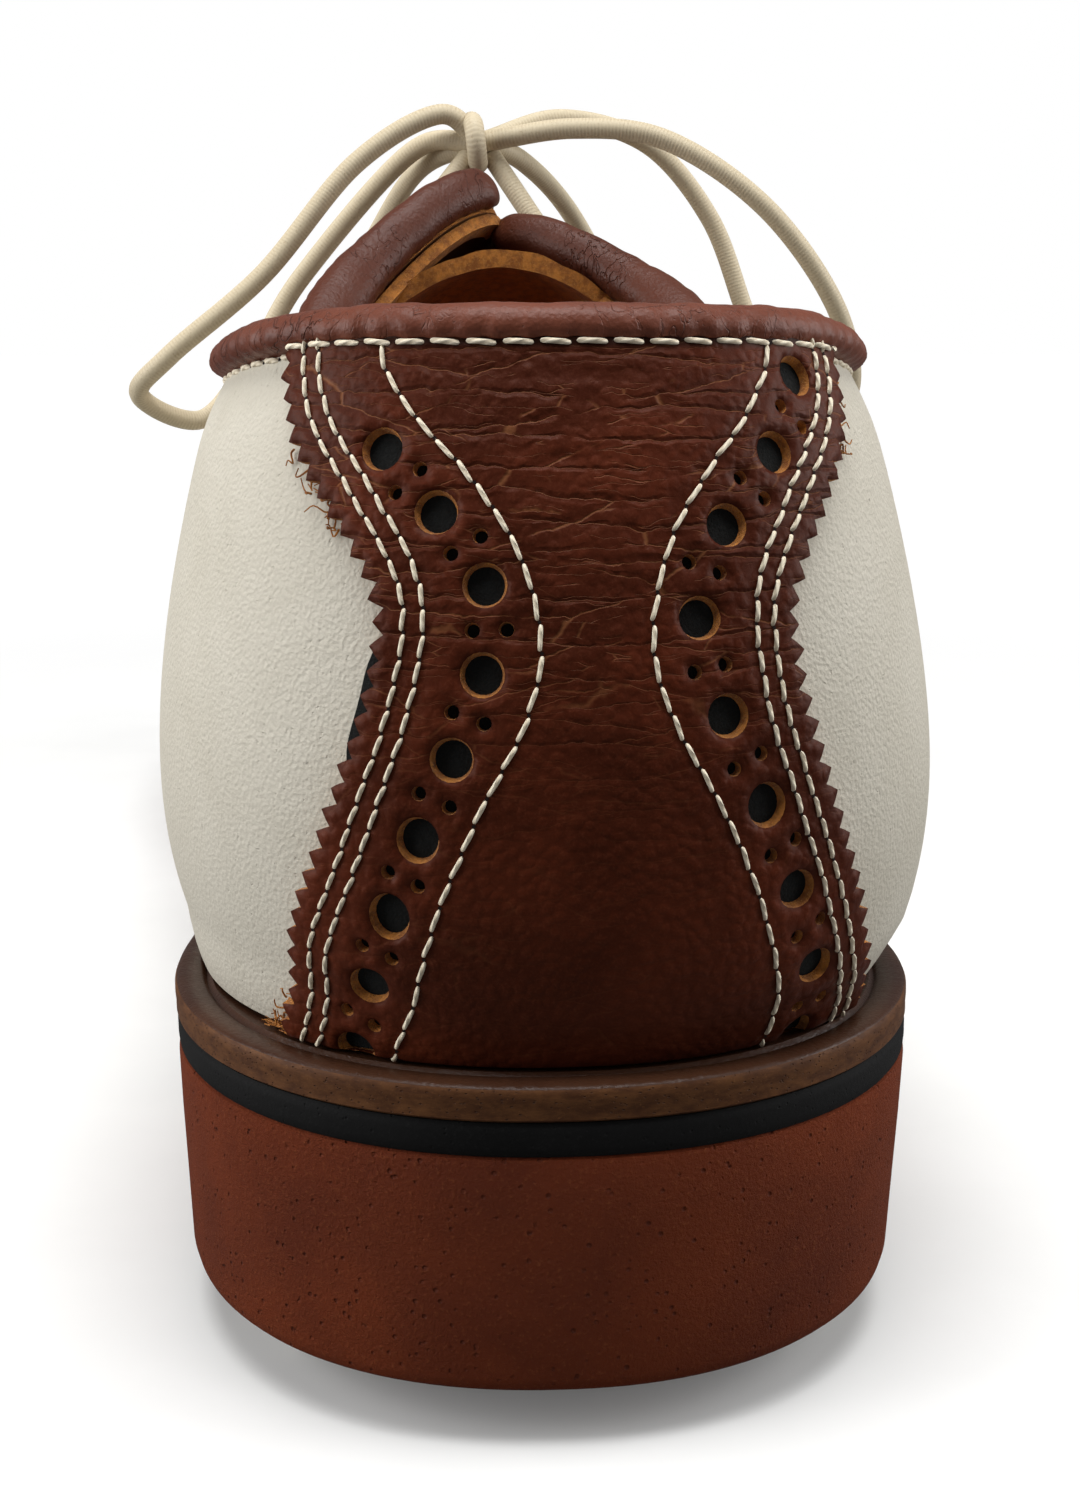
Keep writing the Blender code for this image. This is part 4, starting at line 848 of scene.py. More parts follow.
LINING, OUTER, OVERLAY, WING = (0.0, 1.0), (2.8, 4.0), (4.5, 5.6), (4.85, 5.8)
THROAT, FACING_TOP, FACING_GAP = 170.0, 106.0, 1.8
TOPLINE = ((10, 61), (45, 57.5), (66, 58.5), (79, 64), (91, 74.5))
VAMP_SEAM = ((0, 128), (0.35, 139), (0.62, 156), (0.85, 169), (1, THROAT))
WING_EDGE = ((0, 160), (0.3, 192), (0.6, 224), (0.82, 232), (1, 214))
FACING_WIDTH = ((84, 15), (106, 24), (150, 23), (172, 12))
FACING_REAR, FACING_FRONT = 88.0, 165.0
BINDING_SEAT = 1.0
EYELET_ROWS, EYELET_SETBACK = (113.0, 125.0, 137.0, 149.0, 160.0), 12.5
LAP, LAP_LIFT = 3.5, 1.35  # how far the quarters reach over the vamp, and how much that lifts them
LAP_ROWS = (1.8, 3.6)  # the two stitch rows inside the quarters' lapped edge
BACK_SEAM, SEAT_COVER = 0.15, 0.8  # half the gap at the heel, and how far pieces reach up past their seat

# Heel foxing: half-widths by girth from its own middle, which sits a little to the outer side.
FOXING_MIDDLE = 1.0
FOXING_EDGE = (
    (0, 26), (6.7, 22.2), (18, 17.8), (25, 15.6), (33, 14.0), (39, 14.4), (45, 18), (52, 23.4), (60, 26),
)
FOXING_MEDIAL_EDGE = (
    (0, 23.8), (6.7, 22), (13, 21), (18, 19), (25, 16.7), (33, 14.7), (39, 14.5), (45, 18), (52, 23.4),
    (60, 26),
)
FOXING_STITCH = (
    (0, 13.8), (5, 13), (11.5, 11.5), (17.5, 9.7), (24, 7.3), (30, 4.7), (36, 3.6), (40, 4.2), (45, 6),
    (49, 8.7), (54, 13.2), (59, 16),
)
FOXING_BROGUE = (
    (3.6, 16.4), (10, 15.2), (16.5, 13), (22.7, 10.9), (29, 8.7), (35.2, 7.1), (39, 7), (43, 8.3), (46, 10.8),
    (50, 14.4), (56, 18.6),
)
EDGE_ROWS = (2.3, 3.95)  # the two stitch rows inside a gimped edge
PUNCH_PITCH, BIG_PUNCH, SMALL_PUNCH, PUNCH_SPREAD = 7.3, 1.78, 0.62, 1.35
LATERAL_PUNCHES, MEDIAL_PUNCHES = (3.0, 56.2, 8.6), (3.4, 50.6, PUNCH_PITCH)  # girths from and to, and pitch
EYELET_HOLE = 2.65


def mirrored(chart):
    """The same chart on the medial side."""

    def other(places):
        arc, girth = chart(places)
        return -arc, girth

    return other


SIDES = (("lateral", side_chart), ("medial", mirrored(side_chart)))


def girth_limit(y):
    """Girth of the upper's free edge at y: the topline round the ankle, then the facing's front edge."""
    corner = float(full_girth(arc_at(FACING_TOP))) - FACING_GAP
    topline = through(y, TOPLINE + ((FACING_TOP, corner),))
    return np.where(y < FACING_TOP, topline, full_girth(arc_at(y)) - FACING_GAP)


def seat(y):
    """Girth of the quarters' cut edge, just under the binding."""
    return girth_limit(y) - BINDING_SEAT


def seam_arc(places):
    """Arc of the vamp seam at the height of each place."""
    y = edge_point(places[:, 0])[1]
    return arc_at(through(places[:, 1] / seat(y), VAMP_SEAM))


def lap_lift(places):
    """How much the quarters and what lies on them rise to lap over the vamp."""
    return LAP_LIFT * smooth_step((places[:, 0] - seam_arc(places) + 7) / 6)


def punches(chart, line, pitch=PUNCH_PITCH):
    """Broguing along a line: big punches at the pitch, and a small pair across the line between each two."""
    places = even(chart, line, pitch)
    holes = [circle(chart, place, BIG_PUNCH) for place in places]
    middles = even(chart, line, pitch, 2)[1::2]
    for side in (-PUNCH_SPREAD, PUNCH_SPREAD):
        holes += [circle(chart, place, SMALL_PUNCH, 12) for place in shifted(chart, middles, side)]
    return holes


def beside(chart, path, sideways, pitch=0.8):
    """A path that runs parallel to another, to its right for a positive distance."""
    path = even(chart, path, pitch)
    return shifted(chart, path, np.full(len(path), sideways))


def grooves(chart, rows, depth=0.16, width=0.55):
    """Relief that pulls the leather in along its stitch rows."""
    lines = np.concatenate([even(chart, row, 0.4) for row in rows])

    def relief(places):
        return -depth * np.exp(-((distance(places, lines) / width) ** 2))

    return relief


def band_path(stations, sign, low, high, middle, steps=60):
    """Places at plus or minus a half-width about a middle, from one girth to another."""
    girth = np.linspace(low, high, steps)
    return points_from(middle + sign * through(girth, stations), girth)


def backing(name, chart, outline, low, high, spacing, holes=(), base=None):
    """Black cloth behind a brogued piece, which shows through its punches."""
    patch(
        name, chart, outline, low, high, spacing, (BLACK_CLOTH, BLACK_CLOTH), holes, lip=0.1, base=base,
        slot="brown_leather",
    )


FOLDS = 26
FOLD_LIMITS = (31, 57), (-9, 11), (4, 15), (0.03, 0.09)  # girth, middle, reach and depth of a crease


def build_foxing():
    """The brown back piece: hourglass, gimped, brogued and stitched, over a black underlay."""
    top = float(seat(np.array(HEEL_BACK))) + 0.9
    right = gimped(side_chart, band_path(FOXING_EDGE, 1, 0, top, FOXING_MIDDLE))
    left = gimped(side_chart, band_path(FOXING_MEDIAL_EDGE, -1, top, 0, FOXING_MIDDLE))
    right[:, 1], left[:, 1] = np.maximum(right[:, 1], 0), np.maximum(left[:, 1], 0)
    over = points_from(np.linspace(right[-1, 0], left[0, 0], 60)[1:-1], top)
    under = points_from(np.linspace(left[-1, 0], right[0, 0], 60)[1:-1], 0)
    outline = np.concatenate([right, over, left, under])
    outline[:, 1] = np.minimum(outline[:, 1], seat(edge_point(outline[:, 0])[1]) + 0.8)
    stitched_top = top - 1.6
    rows, holes = [], []
    for sign, stations in ((1, FOXING_EDGE), (-1, FOXING_MEDIAL_EDGE)):
        edge = band_path(stations, sign, 0.5, stitched_top, FOXING_MIDDLE)
        rows += [beside(side_chart, edge, -sign * inset) for inset in EDGE_ROWS]
        rows.append(band_path(FOXING_STITCH, sign, 0.5, stitched_top - 0.4, FOXING_MIDDLE))
        low, high, pitch = MEDIAL_PUNCHES if sign < 0 else LATERAL_PUNCHES
        holes += punches(side_chart, band_path(FOXING_BROGUE, sign, low, high, FOXING_MIDDLE), pitch)
    groove = grooves(side_chart, rows)
    folds = [[RANDOM.uniform(*limits) for limits in FOLD_LIMITS] for _ in range(FOLDS)]

    def relief(places):
        lift = groove(places)
        for number, (girth, centre, reach, depth) in enumerate(folds):
            wander = np.array([noise.noise((arc * 0.16, number * 7.3, 0)) for arc in places[:, 0]]) * 2.4
            away = (places[:, 1] - girth - wander) / 0.34
            fade = np.exp(-(((places[:, 0] - centre) / reach) ** 4))
            lift -= depth * fade * np.exp(-np.abs(away) ** 1.5)
        return lift

    patch(
        "heel_foxing_leather", side_chart, outline, *OVERLAY, 0.55, (BROWN, SUEDE), holes, relief,
        slot="brown_leather", replaces=("heel_foxing",),
    )
    build_underlay(top)
    pitches = (2.05, 2.05, 2.45) * 2
    sewn = [(side_chart, row, OVERLAY[1] - 0.1, pitch) for row, pitch in zip(rows, pitches)]
    stitching("heel_foxing_stitching", sewn)


# Each clump of fibres: side, girth from, how far up, how many.
FRAYS = ((-1, 0.6, 5.5, 46), (1, 0.6, 3.0, 16), (-1, 44.0, 7.0, 14), (1, 50.0, 5.0, 10))


def build_frayed_fibres():
    """Loose leather fibres at the foxing's cut edge."""
    lines = []
    for side, low, reach, count in FRAYS:
        stations = FOXING_EDGE if side > 0 else FOXING_MEDIAL_EDGE
        for _ in range(count):
            girth = low + reach * RANDOM.uniform(0, 1) ** 2
            out = float(through(girth, stations)) + RANDOM.uniform(-0.7, 0.9)
            place = np.array([[FOXING_MIDDLE + side * out, girth]])
            steps = np.cumsum(RANDOM.normal(0, 0.42, (5, 3)) + (0.22 * side, 0, 0), axis=0)
            path = np.concatenate([place + steps[:, :2], np.abs(steps[:, 2:]) * 0.5], axis=1)
            path[:, 1] = np.maximum(path[:, 1], 0.1)
            lines.append(curve(to_world(on_last(path[:, 0], path[:, 1], OUTER[1] + 0.25 + path[:, 2])), 3))
    vertices, faces = tubes(lines, np.linspace(0.11, 0.05, len(lines[0])), 5)
    link("frayed_fibres", vertices, faces, (SUEDE,), slot="brown_leather")


def build_underlay(top):
    """Black cloth under the foxing. It shows through the punches and past the edge at the medial waist."""
    girth = np.linspace(0, top - 2, 70)
    peek = 2.2 * np.exp(-(((girth - 31) / 6.5) ** 4))
    right = points_from(FOXING_MIDDLE + through(girth, FOXING_EDGE) - 1.4, girth)
    left = points_from(FOXING_MIDDLE - through(girth, FOXING_MEDIAL_EDGE) + 1.4 - peek, girth)[::-1]
    backing(
        "foxing_underlay", side_chart, np.concatenate([right, left]), OUTER[1] + 0.06, OVERLAY[0] - 0.08, 1.6
    )


def build_quarters():
    """Cream quarters, lapped over the vamp in front with a double row of stitches."""
    up = np.linspace(0, 1, 60)
    y = through(up, VAMP_SEAM)
    front = points_from(arc_at(y) + LAP, up * (seat(y) + SEAT_COVER))
    along = np.linspace(float(arc_at(THROAT)) + LAP, BACK_SEAM, 260)
    free = points_from(along, seat(edge_point(along)[1]) + SEAT_COVER)[1:-1]
    bottom = points_from(np.linspace(BACK_SEAM, front[0, 0], 180)[:-1], 0)
    back = points_from(BACK_SEAM, np.linspace(free[-1, 1], 0, 50))[:-1]
    outline = np.concatenate([bottom, front, free, back])
    front_rows = [points_from(arc_at(y) + LAP - inset, up * seat(y))[1:52] for inset in LAP_ROWS]
    for label, chart in SIDES:
        holes = [circle(chart, eyelet_place(row), EYELET_HOLE, 18) for row in EYELET_ROWS]
        groove = grooves(chart, front_rows, 0.12)

        def relief(places):
            swell = np.array([noise.noise((a * 0.035, g * 0.05, 3.1)) for a, g in places]) * 0.2
            return groove(places) + swell - 0.1

        patch(
            f"quarter_{label}_leather", chart, outline, *OUTER, 1.25, (CREAM, CREAM_EDGE), holes, relief,
            base=lap_lift, slot="cream_leather", replaces=(f"quarter_{label}",),
        )
        lifted = [(chart, row, lambda places: OUTER[1] - 0.06 + lap_lift(places)) for row in front_rows]
        stitching(f"quarter_{label}_stitching", lifted)


def eyelet_place(y):
    """A side-chart place of the eyelet at y on the ridge."""
    arc = float(arc_at(y))
    return arc, float(full_girth(arc)) - EYELET_SETBACK


def build_facings():
    """Brown bands along the lacing edges: gimped, brogued, with a stitch row beside the eyelets."""
    y = np.linspace(FACING_REAR, FACING_FRONT, 90)
    low = points_from(arc_at(y), seat(y) - through(y, FACING_WIDTH))
    for label, chart in SIDES:
        lower = gimped(chart, low)
        upper = points_from(arc_at(y), seat(y) + SEAT_COVER)[::-1]
        front = points_from(lower[-1, 0], np.linspace(lower[-1, 1], upper[0, 1], 14)[1:-1])
        rear = points_from(lower[0, 0], np.linspace(upper[-1, 1], lower[0, 1], 24)[1:-1])
        outline = np.concatenate([lower, front, upper, rear])
        rows = [beside(chart, low, -inset)[2:-2] for inset in EDGE_ROWS]
        rows.append(points_from(arc_at(y), seat(y) - 3.4)[22:])
        line = beside(chart, low, -6.9)[5:-6]
        eyelets = np.array([eyelet_place(row) for row in EYELET_ROWS])
        holes = [hole for hole in punches(chart, line) if distance(hole.mean(axis=0)[None], eyelets)[0] > 5.4]
        holes += [circle(chart, place, 2.6, 18) for place in eyelets]
        patch(
            f"facing_{label}_leather", chart, outline, *OVERLAY, 0.8, (PLAIN_BROWN, SUEDE), holes,
            grooves(chart, rows), base=lap_lift, slot="brown_leather", replaces=(f"facing_{label}",),
        )
        behind = beside(chart, low, -1.6)[3:-3]
        behind_top = points_from(behind[:, 0], seat(edge_point(behind[:, 0])[1]) - 1)
        backing(
            f"facing_{label}_backing", chart, np.concatenate([behind, behind_top[::-1]]), OUTER[1] + 0.06,
            OVERLAY[0] - 0.08, 2.0, holes[-len(eyelets) :], lap_lift,
        )
        lifted = [(chart, row, lambda places: OVERLAY[1] - 0.1 + lap_lift(places)) for row in rows]
        stitching(f"facing_{label}_stitching", lifted)


TOE_CREASES = ((181, 0.30, 9), (189, 0.42, 8), (197, 0.28, 10), (204, 0.16, 9))  # y, depth and bend


def build_vamp():
    """Cream vamp under a gimped, brogued wing tip that comes to a peak on the ridge."""
    up = np.linspace(0, 1, 50)
    y = through(up, VAMP_SEAM)
    share = up * seat(y) / full_girth(arc_at(y))
    lateral = plan_place(arc_at(y) + 0.4, share)
    medial = lateral * (-1, 1)
    first = float(arc_at(y[0])) + 0.4
    edge = plan_place(np.linspace(first, 2 * HALF_ARC - first, 260), 0)[1:-1]
    over = np.array([(0.0, THROAT + 0.4)])
    outline = np.concatenate([edge, medial, over, lateral[::-1]])

    def relief(places):
        lift = np.zeros(len(places))
        for at, depth, bend in TOE_CREASES:
            line = at + places[:, 0] ** 2 / 900 * bend + 1.2 * np.sin(places[:, 0] / 7 + at)
            fade = np.exp(-((places[:, 0] / 24) ** 4))
            lift -= depth * np.exp(-(((places[:, 1] - line) / 1.3) ** 2)) * fade
        return lift

    patch(
        "vamp_leather", plan_chart, outline, *OUTER, 1.15, (CREAM, CREAM_EDGE), (), relief,
        slot="cream_leather", replaces=("vamp",),
    )
    patch(
        "vamp_lining_leather", plan_chart, outline * 0.999, *LINING, 2.4, (TAN, SUEDE, TAN),
        slot="tan_leather", replaces=("vamp_lining",), lip=0.1,
    )
    build_wing_tip()


def build_wing_tip():
    """The brown toe piece, brogued along its edge and with a medallion, over a black backing."""
    share = np.linspace(0, 1, 70)
    arc = arc_at(through(share, WING_EDGE))
    one_side = plan_place(arc, share)
    wing = np.concatenate([one_side * (-1, 1), one_side[-2::-1]])
    first = float(arc[0])
    bottom = plan_place(np.linspace(first, 2 * HALF_ARC - first, 420), 0)[1:-1]
    outline = np.concatenate([bottom, gimped(plan_chart, wing)])
    rows = [simple_path(beside(plan_chart, wing, -inset)[3:-3]) for inset in EDGE_ROWS]
    rows.append(simple_path(beside(plan_chart, wing, -11.4)[6:-6]))
    line = simple_path(beside(plan_chart, wing, -7.6)[6:-6])
    line = line[line[:, 0] > 0]
    line = np.concatenate([[(0.0, line[0, 1])], line])
    holes = punches(plan_chart, line) + punches(plan_chart, line * (-1, 1))[1:]
    holes += medallion()
    patch(
        "wing_tip_leather", plan_chart, outline, *WING, 0.85, (PLAIN_BROWN, SUEDE), holes,
        grooves(plan_chart, rows), slot="brown_leather", replaces=("wing_tip",),
    )
    behind = np.concatenate([bottom[6:-6], simple_path(beside(plan_chart, wing, -1.6)[3:-3])])
    backing("wing_tip_backing", plan_chart, behind, OUTER[1] + 0.08, WING[0] - 0.1, 3.0)
    stitching("wing_tip_stitching", [(plan_chart, row, WING[1] - 0.1) for row in rows])


RIDGE_CLEAR = 0.7  # where a path on one side of the wing tip's peak stops short of the ridge


def simple_path(path):
    """A parallel path without the knot it makes inside a sharp corner on the ridge."""
    half = len(path) // 2
    medial, lateral = path[:half], path[half:][::-1]
    medial = medial[np.cumsum(medial[:, 0] > -RIDGE_CLEAR) == 0]
    lateral = lateral[np.cumsum(lateral[:, 0] < RIDGE_CLEAR) == 0]
    return np.concatenate([medial, lateral[::-1]])


def medallion():
    """Punches on the toe: three rings of small ones round a big one."""
    centre = np.array([0.0, 252.0])
    holes = [circle(plan_chart, centre, BIG_PUNCH)]
    rings = ((8, 3.4, SMALL_PUNCH, 0), (8, 7.0, 1.1, 0.5), (16, 10.0, SMALL_PUNCH, 0))
    for count, radius, size, start in rings:
        for k in range(count):
            turn = 2 * math.pi * (k + start) / count
            place = centre + radius * np.array([math.cos(turn), math.sin(turn)])
            holes.append(circle(plan_chart, place, size, 14))
    return holes


# ---------------------------------------------------------------- collar, lining and tongue

COLLAR_STITCH_DROP, TURNED_IN = 0.9, 2.9
BINDING_SECTION = (
    (-0.86, -0.55), (-1.0, 0.0), (-1.02, 0.35), (-0.9, 0.66), (-0.62, 0.9), (-0.2, 1.0), (0.25, 1.0),
    (0.64, 0.9), (0.93, 0.66), (1.08, 0.32), (1.09, -0.02), (0.98, -0.3), (0.72, -0.42), (0.2, -0.3),
)


def collar_line(count):
    """Arcs and girths along the topline, from the medial facing corner round the heel to the lateral one."""
    end = float(arc_at(FACING_TOP))
    arc = np.linspace(-end, end, count)
    return arc, seat(edge_point(arc)[1])


def build_collar():
    """A rolled leather piping over the topline, puckered by the stitch row below it."""
    arc, girth = collar_line(640)
    middle = OVERLAY[1] / 2
    line = on_last(arc, girth, middle)
    outward = unit(on_last(arc, girth, middle + 1) - line)
    up = unit(np.cross(outward, np.gradient(line, axis=0)))
    run = path_length(line)
    slim = 1 - 0.2 * smooth_step((edge_point(arc)[1] - 86) / 16)
    rings = []
    for i in range(len(arc)):
        ends = min(i, len(arc) - 1 - i)
        close = math.sqrt(min(1.0, (ends + 0.5) / 7))
        ring = []
        for out, rise in BINDING_SECTION:
            pucker = 0.16 * math.sin(run[i] * 2 * math.pi / 2.3) * max(0.0, 0.55 - rise)
            wrinkle = noise.noise((run[i] * 0.35 + out * 0.8, rise * 0.7, 4.0)) * 0.20
            fold = noise.noise((run[i] * 0.9 - rise * 0.9, out * 0.5, 9.0))
            wrinkle -= 0.22 * max(0.0, fold - 0.22)
            size = (1 + (pucker + wrinkle) / 3.2) * slim[i]
            reach = out * (middle + 0.45) * (0.35 + 0.65 * close) * size
            ring.append(line[i] + outward[i] * reach + up[i] * (GAP + rise * 2.8 * close * size))
        rings.append(ring)
    rings = to_world(np.array(rings))
    sides = len(BINDING_SECTION)
    made = link(
        "collar_piping", rings.reshape(-1, 3), ring_faces(len(arc), sides), (PIPING,), slot="brown_leather",
        replaces=("collar_binding",), sharp=180,
    )
    rounded = made.modifiers.new("rounded", "SUBSURF")
    rounded.levels = rounded.render_levels = 1
    arc, girth = collar_line(500)
    sewn = np.abs(arc) < float(arc_at(100.0))
    row = points_from(arc[sewn], girth[sewn] - COLLAR_STITCH_DROP)

    def on_leather(places):
        arc, girth = places[:, 0], places[:, 1]
        over = np.abs(arc - FOXING_MIDDLE) < through(girth, FOXING_EDGE)
        over |= np.abs(arc) > float(arc_at(FACING_REAR))
        return np.where(over, OVERLAY[1], OUTER[1]) - 0.05

    stitching("collar_stitching", [(side_chart, row, on_leather)], pitch=2.9, radius=0.24)


def build_lining():
    """Tan leather inside the quarters, with the piping's raw edge turned in over its top."""
    arc, girth = collar_line(240)
    end = float(arc_at(THROAT))
    front = np.linspace(float(arc_at(FACING_TOP)), end, 60)
    free = points_from(front, seat(edge_point(front)[1]))
    low = points_from(np.linspace(-end, end, 200), 0)
    top = np.concatenate([free[::-1], points_from(arc, girth)[::-1][1:-1], free * (-1, 1)])
    eyelets = [np.array(eyelet_place(row)) * (side, 1) for row in EYELET_ROWS for side in (1, -1)]
    holes = [circle(side_chart, place, EYELET_HOLE, 16) for place in eyelets]
    patch(
        "quarter_lining_leather", side_chart, np.concatenate([low, top]), *LINING, 2.2,
        (TAN, SUEDE, TAN), holes, slot="tan_leather", replaces=("quarter_lining",), lip=0.1,
    )
    ragged = points_from(arc, girth - TURNED_IN + RANDOM.uniform(-0.35, 0.35, len(arc)))
    upper = points_from(arc, girth + 0.2)[::-1]
    patch(
        "turned_in_edge", side_chart, np.concatenate([ragged, upper]), -1.9, -0.1, 0.8, (SUEDE, SUEDE),
        slot="brown_leather", lip=0.3,
    )


def sheet_faces(rows, columns):
    """Faces of a closed sheet from two grids of points, and their kinds: 0 over, 1 under, 2 on the rim."""
    number = np.arange(rows * columns).reshape(rows, columns)
    below = number + rows * columns
    faces, kinds = [], []
    for i in range(rows - 1):
        for j in range(columns - 1):
            faces.append((number[i, j], number[i + 1, j], number[i + 1, j + 1], number[i, j + 1]))
            faces.append((below[i, j], below[i, j + 1], below[i + 1, j + 1], below[i + 1, j]))
            kinds += [0, 1]
    rim = [(i, 0) for i in range(rows)] + [(rows - 1, j) for j in range(1, columns)]
    rim += [(i, columns - 1) for i in range(rows - 2, -1, -1)] + [(0, j) for j in range(columns - 2, 0, -1)]
    for here, after in zip(rim, rim[1:] + rim[:1]):
        faces.append((number[here], below[here], below[after], number[after]))
        kinds.append(2)
    return faces, kinds


TONGUE_HALF_WIDTH = ((93, 15), (97, 18.5), (104, 22), (140, 24), (166, 18))
TONGUE_SINK = ((93, 9.2), (110, 10.5), (140, 9.2), (166, 7.5))
TONGUE_THICKNESS = 2.1


def build_tongue():
    """An arched flap of leather, suede side in, with a fuzzy cut edge."""
    across = np.linspace(-1, 1, 61)[:, None]
    y = np.linspace(93.0, 166.0, 90)[None, :]
    arc = arc_at(y) * np.where(across < 0, -1, 1)
    setback = np.abs(across) * through(y, TONGUE_HALF_WIDTH)
    points = on_last(arc, full_girth(arc) - setback)
    points[..., 0] *= 1 + 0.5 * (1 - smooth_step((y - 93) / 28))
    dips = np.array([noise.noise((a * 2.2, b * 0.07, 1.5)) for a in across.ravel() for b in y.ravel()])
    points[..., 2] -= through(y, TONGUE_SINK) - 0.55 * dips.reshape(points.shape[:2])
    under = points - np.array([0, 0, TONGUE_THICKNESS])
    fringe = np.array([[0.6 * noise.noise((a * 7.0, 3.3, 0))] for a in across.ravel()])
    points[:, :1, 1] += fringe
    under[:, :1, 1] += fringe
    points[:, :1, 2] += 0.5 * fringe[::-1]
    faces, kinds = sheet_faces(*points.shape[:2])
    both = to_world(np.concatenate([points.reshape(-1, 3), under.reshape(-1, 3)]), sagging=False)
    made = link(
        "tongue_flap", both, faces, (PLAIN_BROWN, TONGUE_SUEDE, SUEDE), "tongue_body", "brown_leather",
        ("tongue",), kinds,
    )
    point_value(made, "rim", np.full(len(both), 5.0))


# ---------------------------------------------------------------- eyelets and lace

CORD_RADIUS, CORD_SIDES = 1.3, 16
UNDER_DEPTH, KNOT_LIFT = -2.6, 16.0
# Length along a lace tip, and its radius there.
AGLET_STATIONS = ((0, 1.42), (0.3, 1.52), (1.0, 1.5), (8.0, 1.45), (16.0, 1.35), (17.0, 0.9))


def facing_point(y, side, setback, offset):
    """A world point beside the lacing gap: y on the ridge, setback down from it, offset out from the last."""
    arc = float(arc_at(y))
    return to_world(on_last(arc * side, float(full_girth(arc)) - setback, offset))


def over_ridge(y, offset):
    return facing_point(y, 1, 0.0, offset)


def stand_on(origin, upward, vertices):
    """Vertices about +Z moved so that +Z points along upward at origin."""
    turn = np.array(Vector(upward).to_track_quat("Z", "Y").to_matrix())
    return np.asarray(vertices) @ turn.T + origin


def turned(profile, sides):
    """A closed ring about Z from (radius, height) points."""
    turn = np.linspace(0, 2 * math.pi, sides, endpoint=False)[:, None]
    r, z = np.array(profile, float).T
    points = points_from(r * np.cos(turn), r * np.sin(turn), z)
    return points.reshape(-1, 3), ring_faces(sides, len(profile), closed=True)


def build_eyelets():
    """Rolled brass eyelets, clinched over the facings."""
    high, low = OVERLAY[1] + 0.02, LINING[0] - 0.4
    profile = (
        (2.1, low), (2.5, low), (2.55, low + 0.5), (2.55, high), (3.35, high + 0.02), (3.7, high + 0.12),
        (3.78, high + 0.36), (3.62, high + 0.62), (3.2, high + 0.82), (2.7, high + 0.8), (2.3, high + 0.5),
        (2.1, high - 0.2),
    )
    vertices, faces = turned(profile, 36)
    for label, chart in SIDES:
        side = 1 if label == "lateral" else -1
        for row, y in enumerate(EYELET_ROWS, 1):
            foot = facing_point(y, side, EYELET_SETBACK, 0.0)
            lift = float(lap_lift(np.array([eyelet_place(y)]))[0])
            upward = unit(facing_point(y, side, EYELET_SETBACK, 5.0) - foot)
            placed = stand_on(foot + upward * lift, upward, vertices)
            link(
                f"eyelet_{label}_{row}_ring", placed, faces, (BRASS,), slot="antique_brass",
                replaces=(f"eyelet_{label}_{row}",), sharp=60,
            )


def eyelet_pass(y, side, downwards):
    """The lace's way through one eyelet: over its flange, down through it and out underneath."""
    stages = ((-2.9, 8.2), (-0.6, 7.9), (0.0, 5.5), (0.0, 1.5), (0.0, -1.6), (0.4, UNDER_DEPTH))
    passed = [facing_point(y, side, EYELET_SETBACK + shift, height) for shift, height in stages]
    return passed if downwards else passed[::-1]


def lace_rows():
    """The lace from the knot down the lateral top eyelet, under to the bottom row, and back up in bars."""
    top = EYELET_ROWS[0]
    points = eyelet_pass(top, 1, True)
    for y in (128.0, 142.0, 155.0):
        points.append(facing_point(y, 1, EYELET_SETBACK + 5.5, UNDER_DEPTH))
    upwards = EYELET_ROWS[:0:-1]
    for y, following in zip(upwards, upwards[1:] + (top,)):
        points += eyelet_pass(y, 1, False)
        points += [facing_point(y, 1, 6.0, 8.3), over_ridge(y, 8.6), facing_point(y, -1, 6.0, 8.3)]
        points += eyelet_pass(y, -1, True)
        if following != top:
            points.append(over_ridge((y + following) / 2, UNDER_DEPTH))
    return points + eyelet_pass(top, -1, False)


# Bow: control points from the knot, for two loops and two ends.
LEFT_LOOP = (
    (0, 0, 0), (-5.5, -1, 3.4), (-16.5, -2, -3), (-28.5, -3.5, -16.8), (-41, -4, -27.2), (-45.5, 0, -32.5),
    (-38, 6, -36), (-31, 8, -28), (-24, 8, -17), (-9, 4, -1), (0, 0, 0),
)
RIGHT_LOOP = (
    (0, 0, 0), (12, -3, 1.6), (24, -5, 0), (37, -6, -8.5), (47, -4, -21), (50.5, 1, -32), (46, 6, -37),
    (41, 9, -32), (37, 10, -21), (32, 10, -9), (23, 8, 0.5), (11, 5, 3.4), (0, 0, 0),
)
LEFT_END = ((0, 0, 0), (-8, 8, -3), (-15, 19, -13), (-23, 28, -26), (-31, 35, -38))
RIGHT_END = ((0, 0, 0), (6, 6, -2), (13, 15, -8), (21, 24, -20), (32, 33, -37))


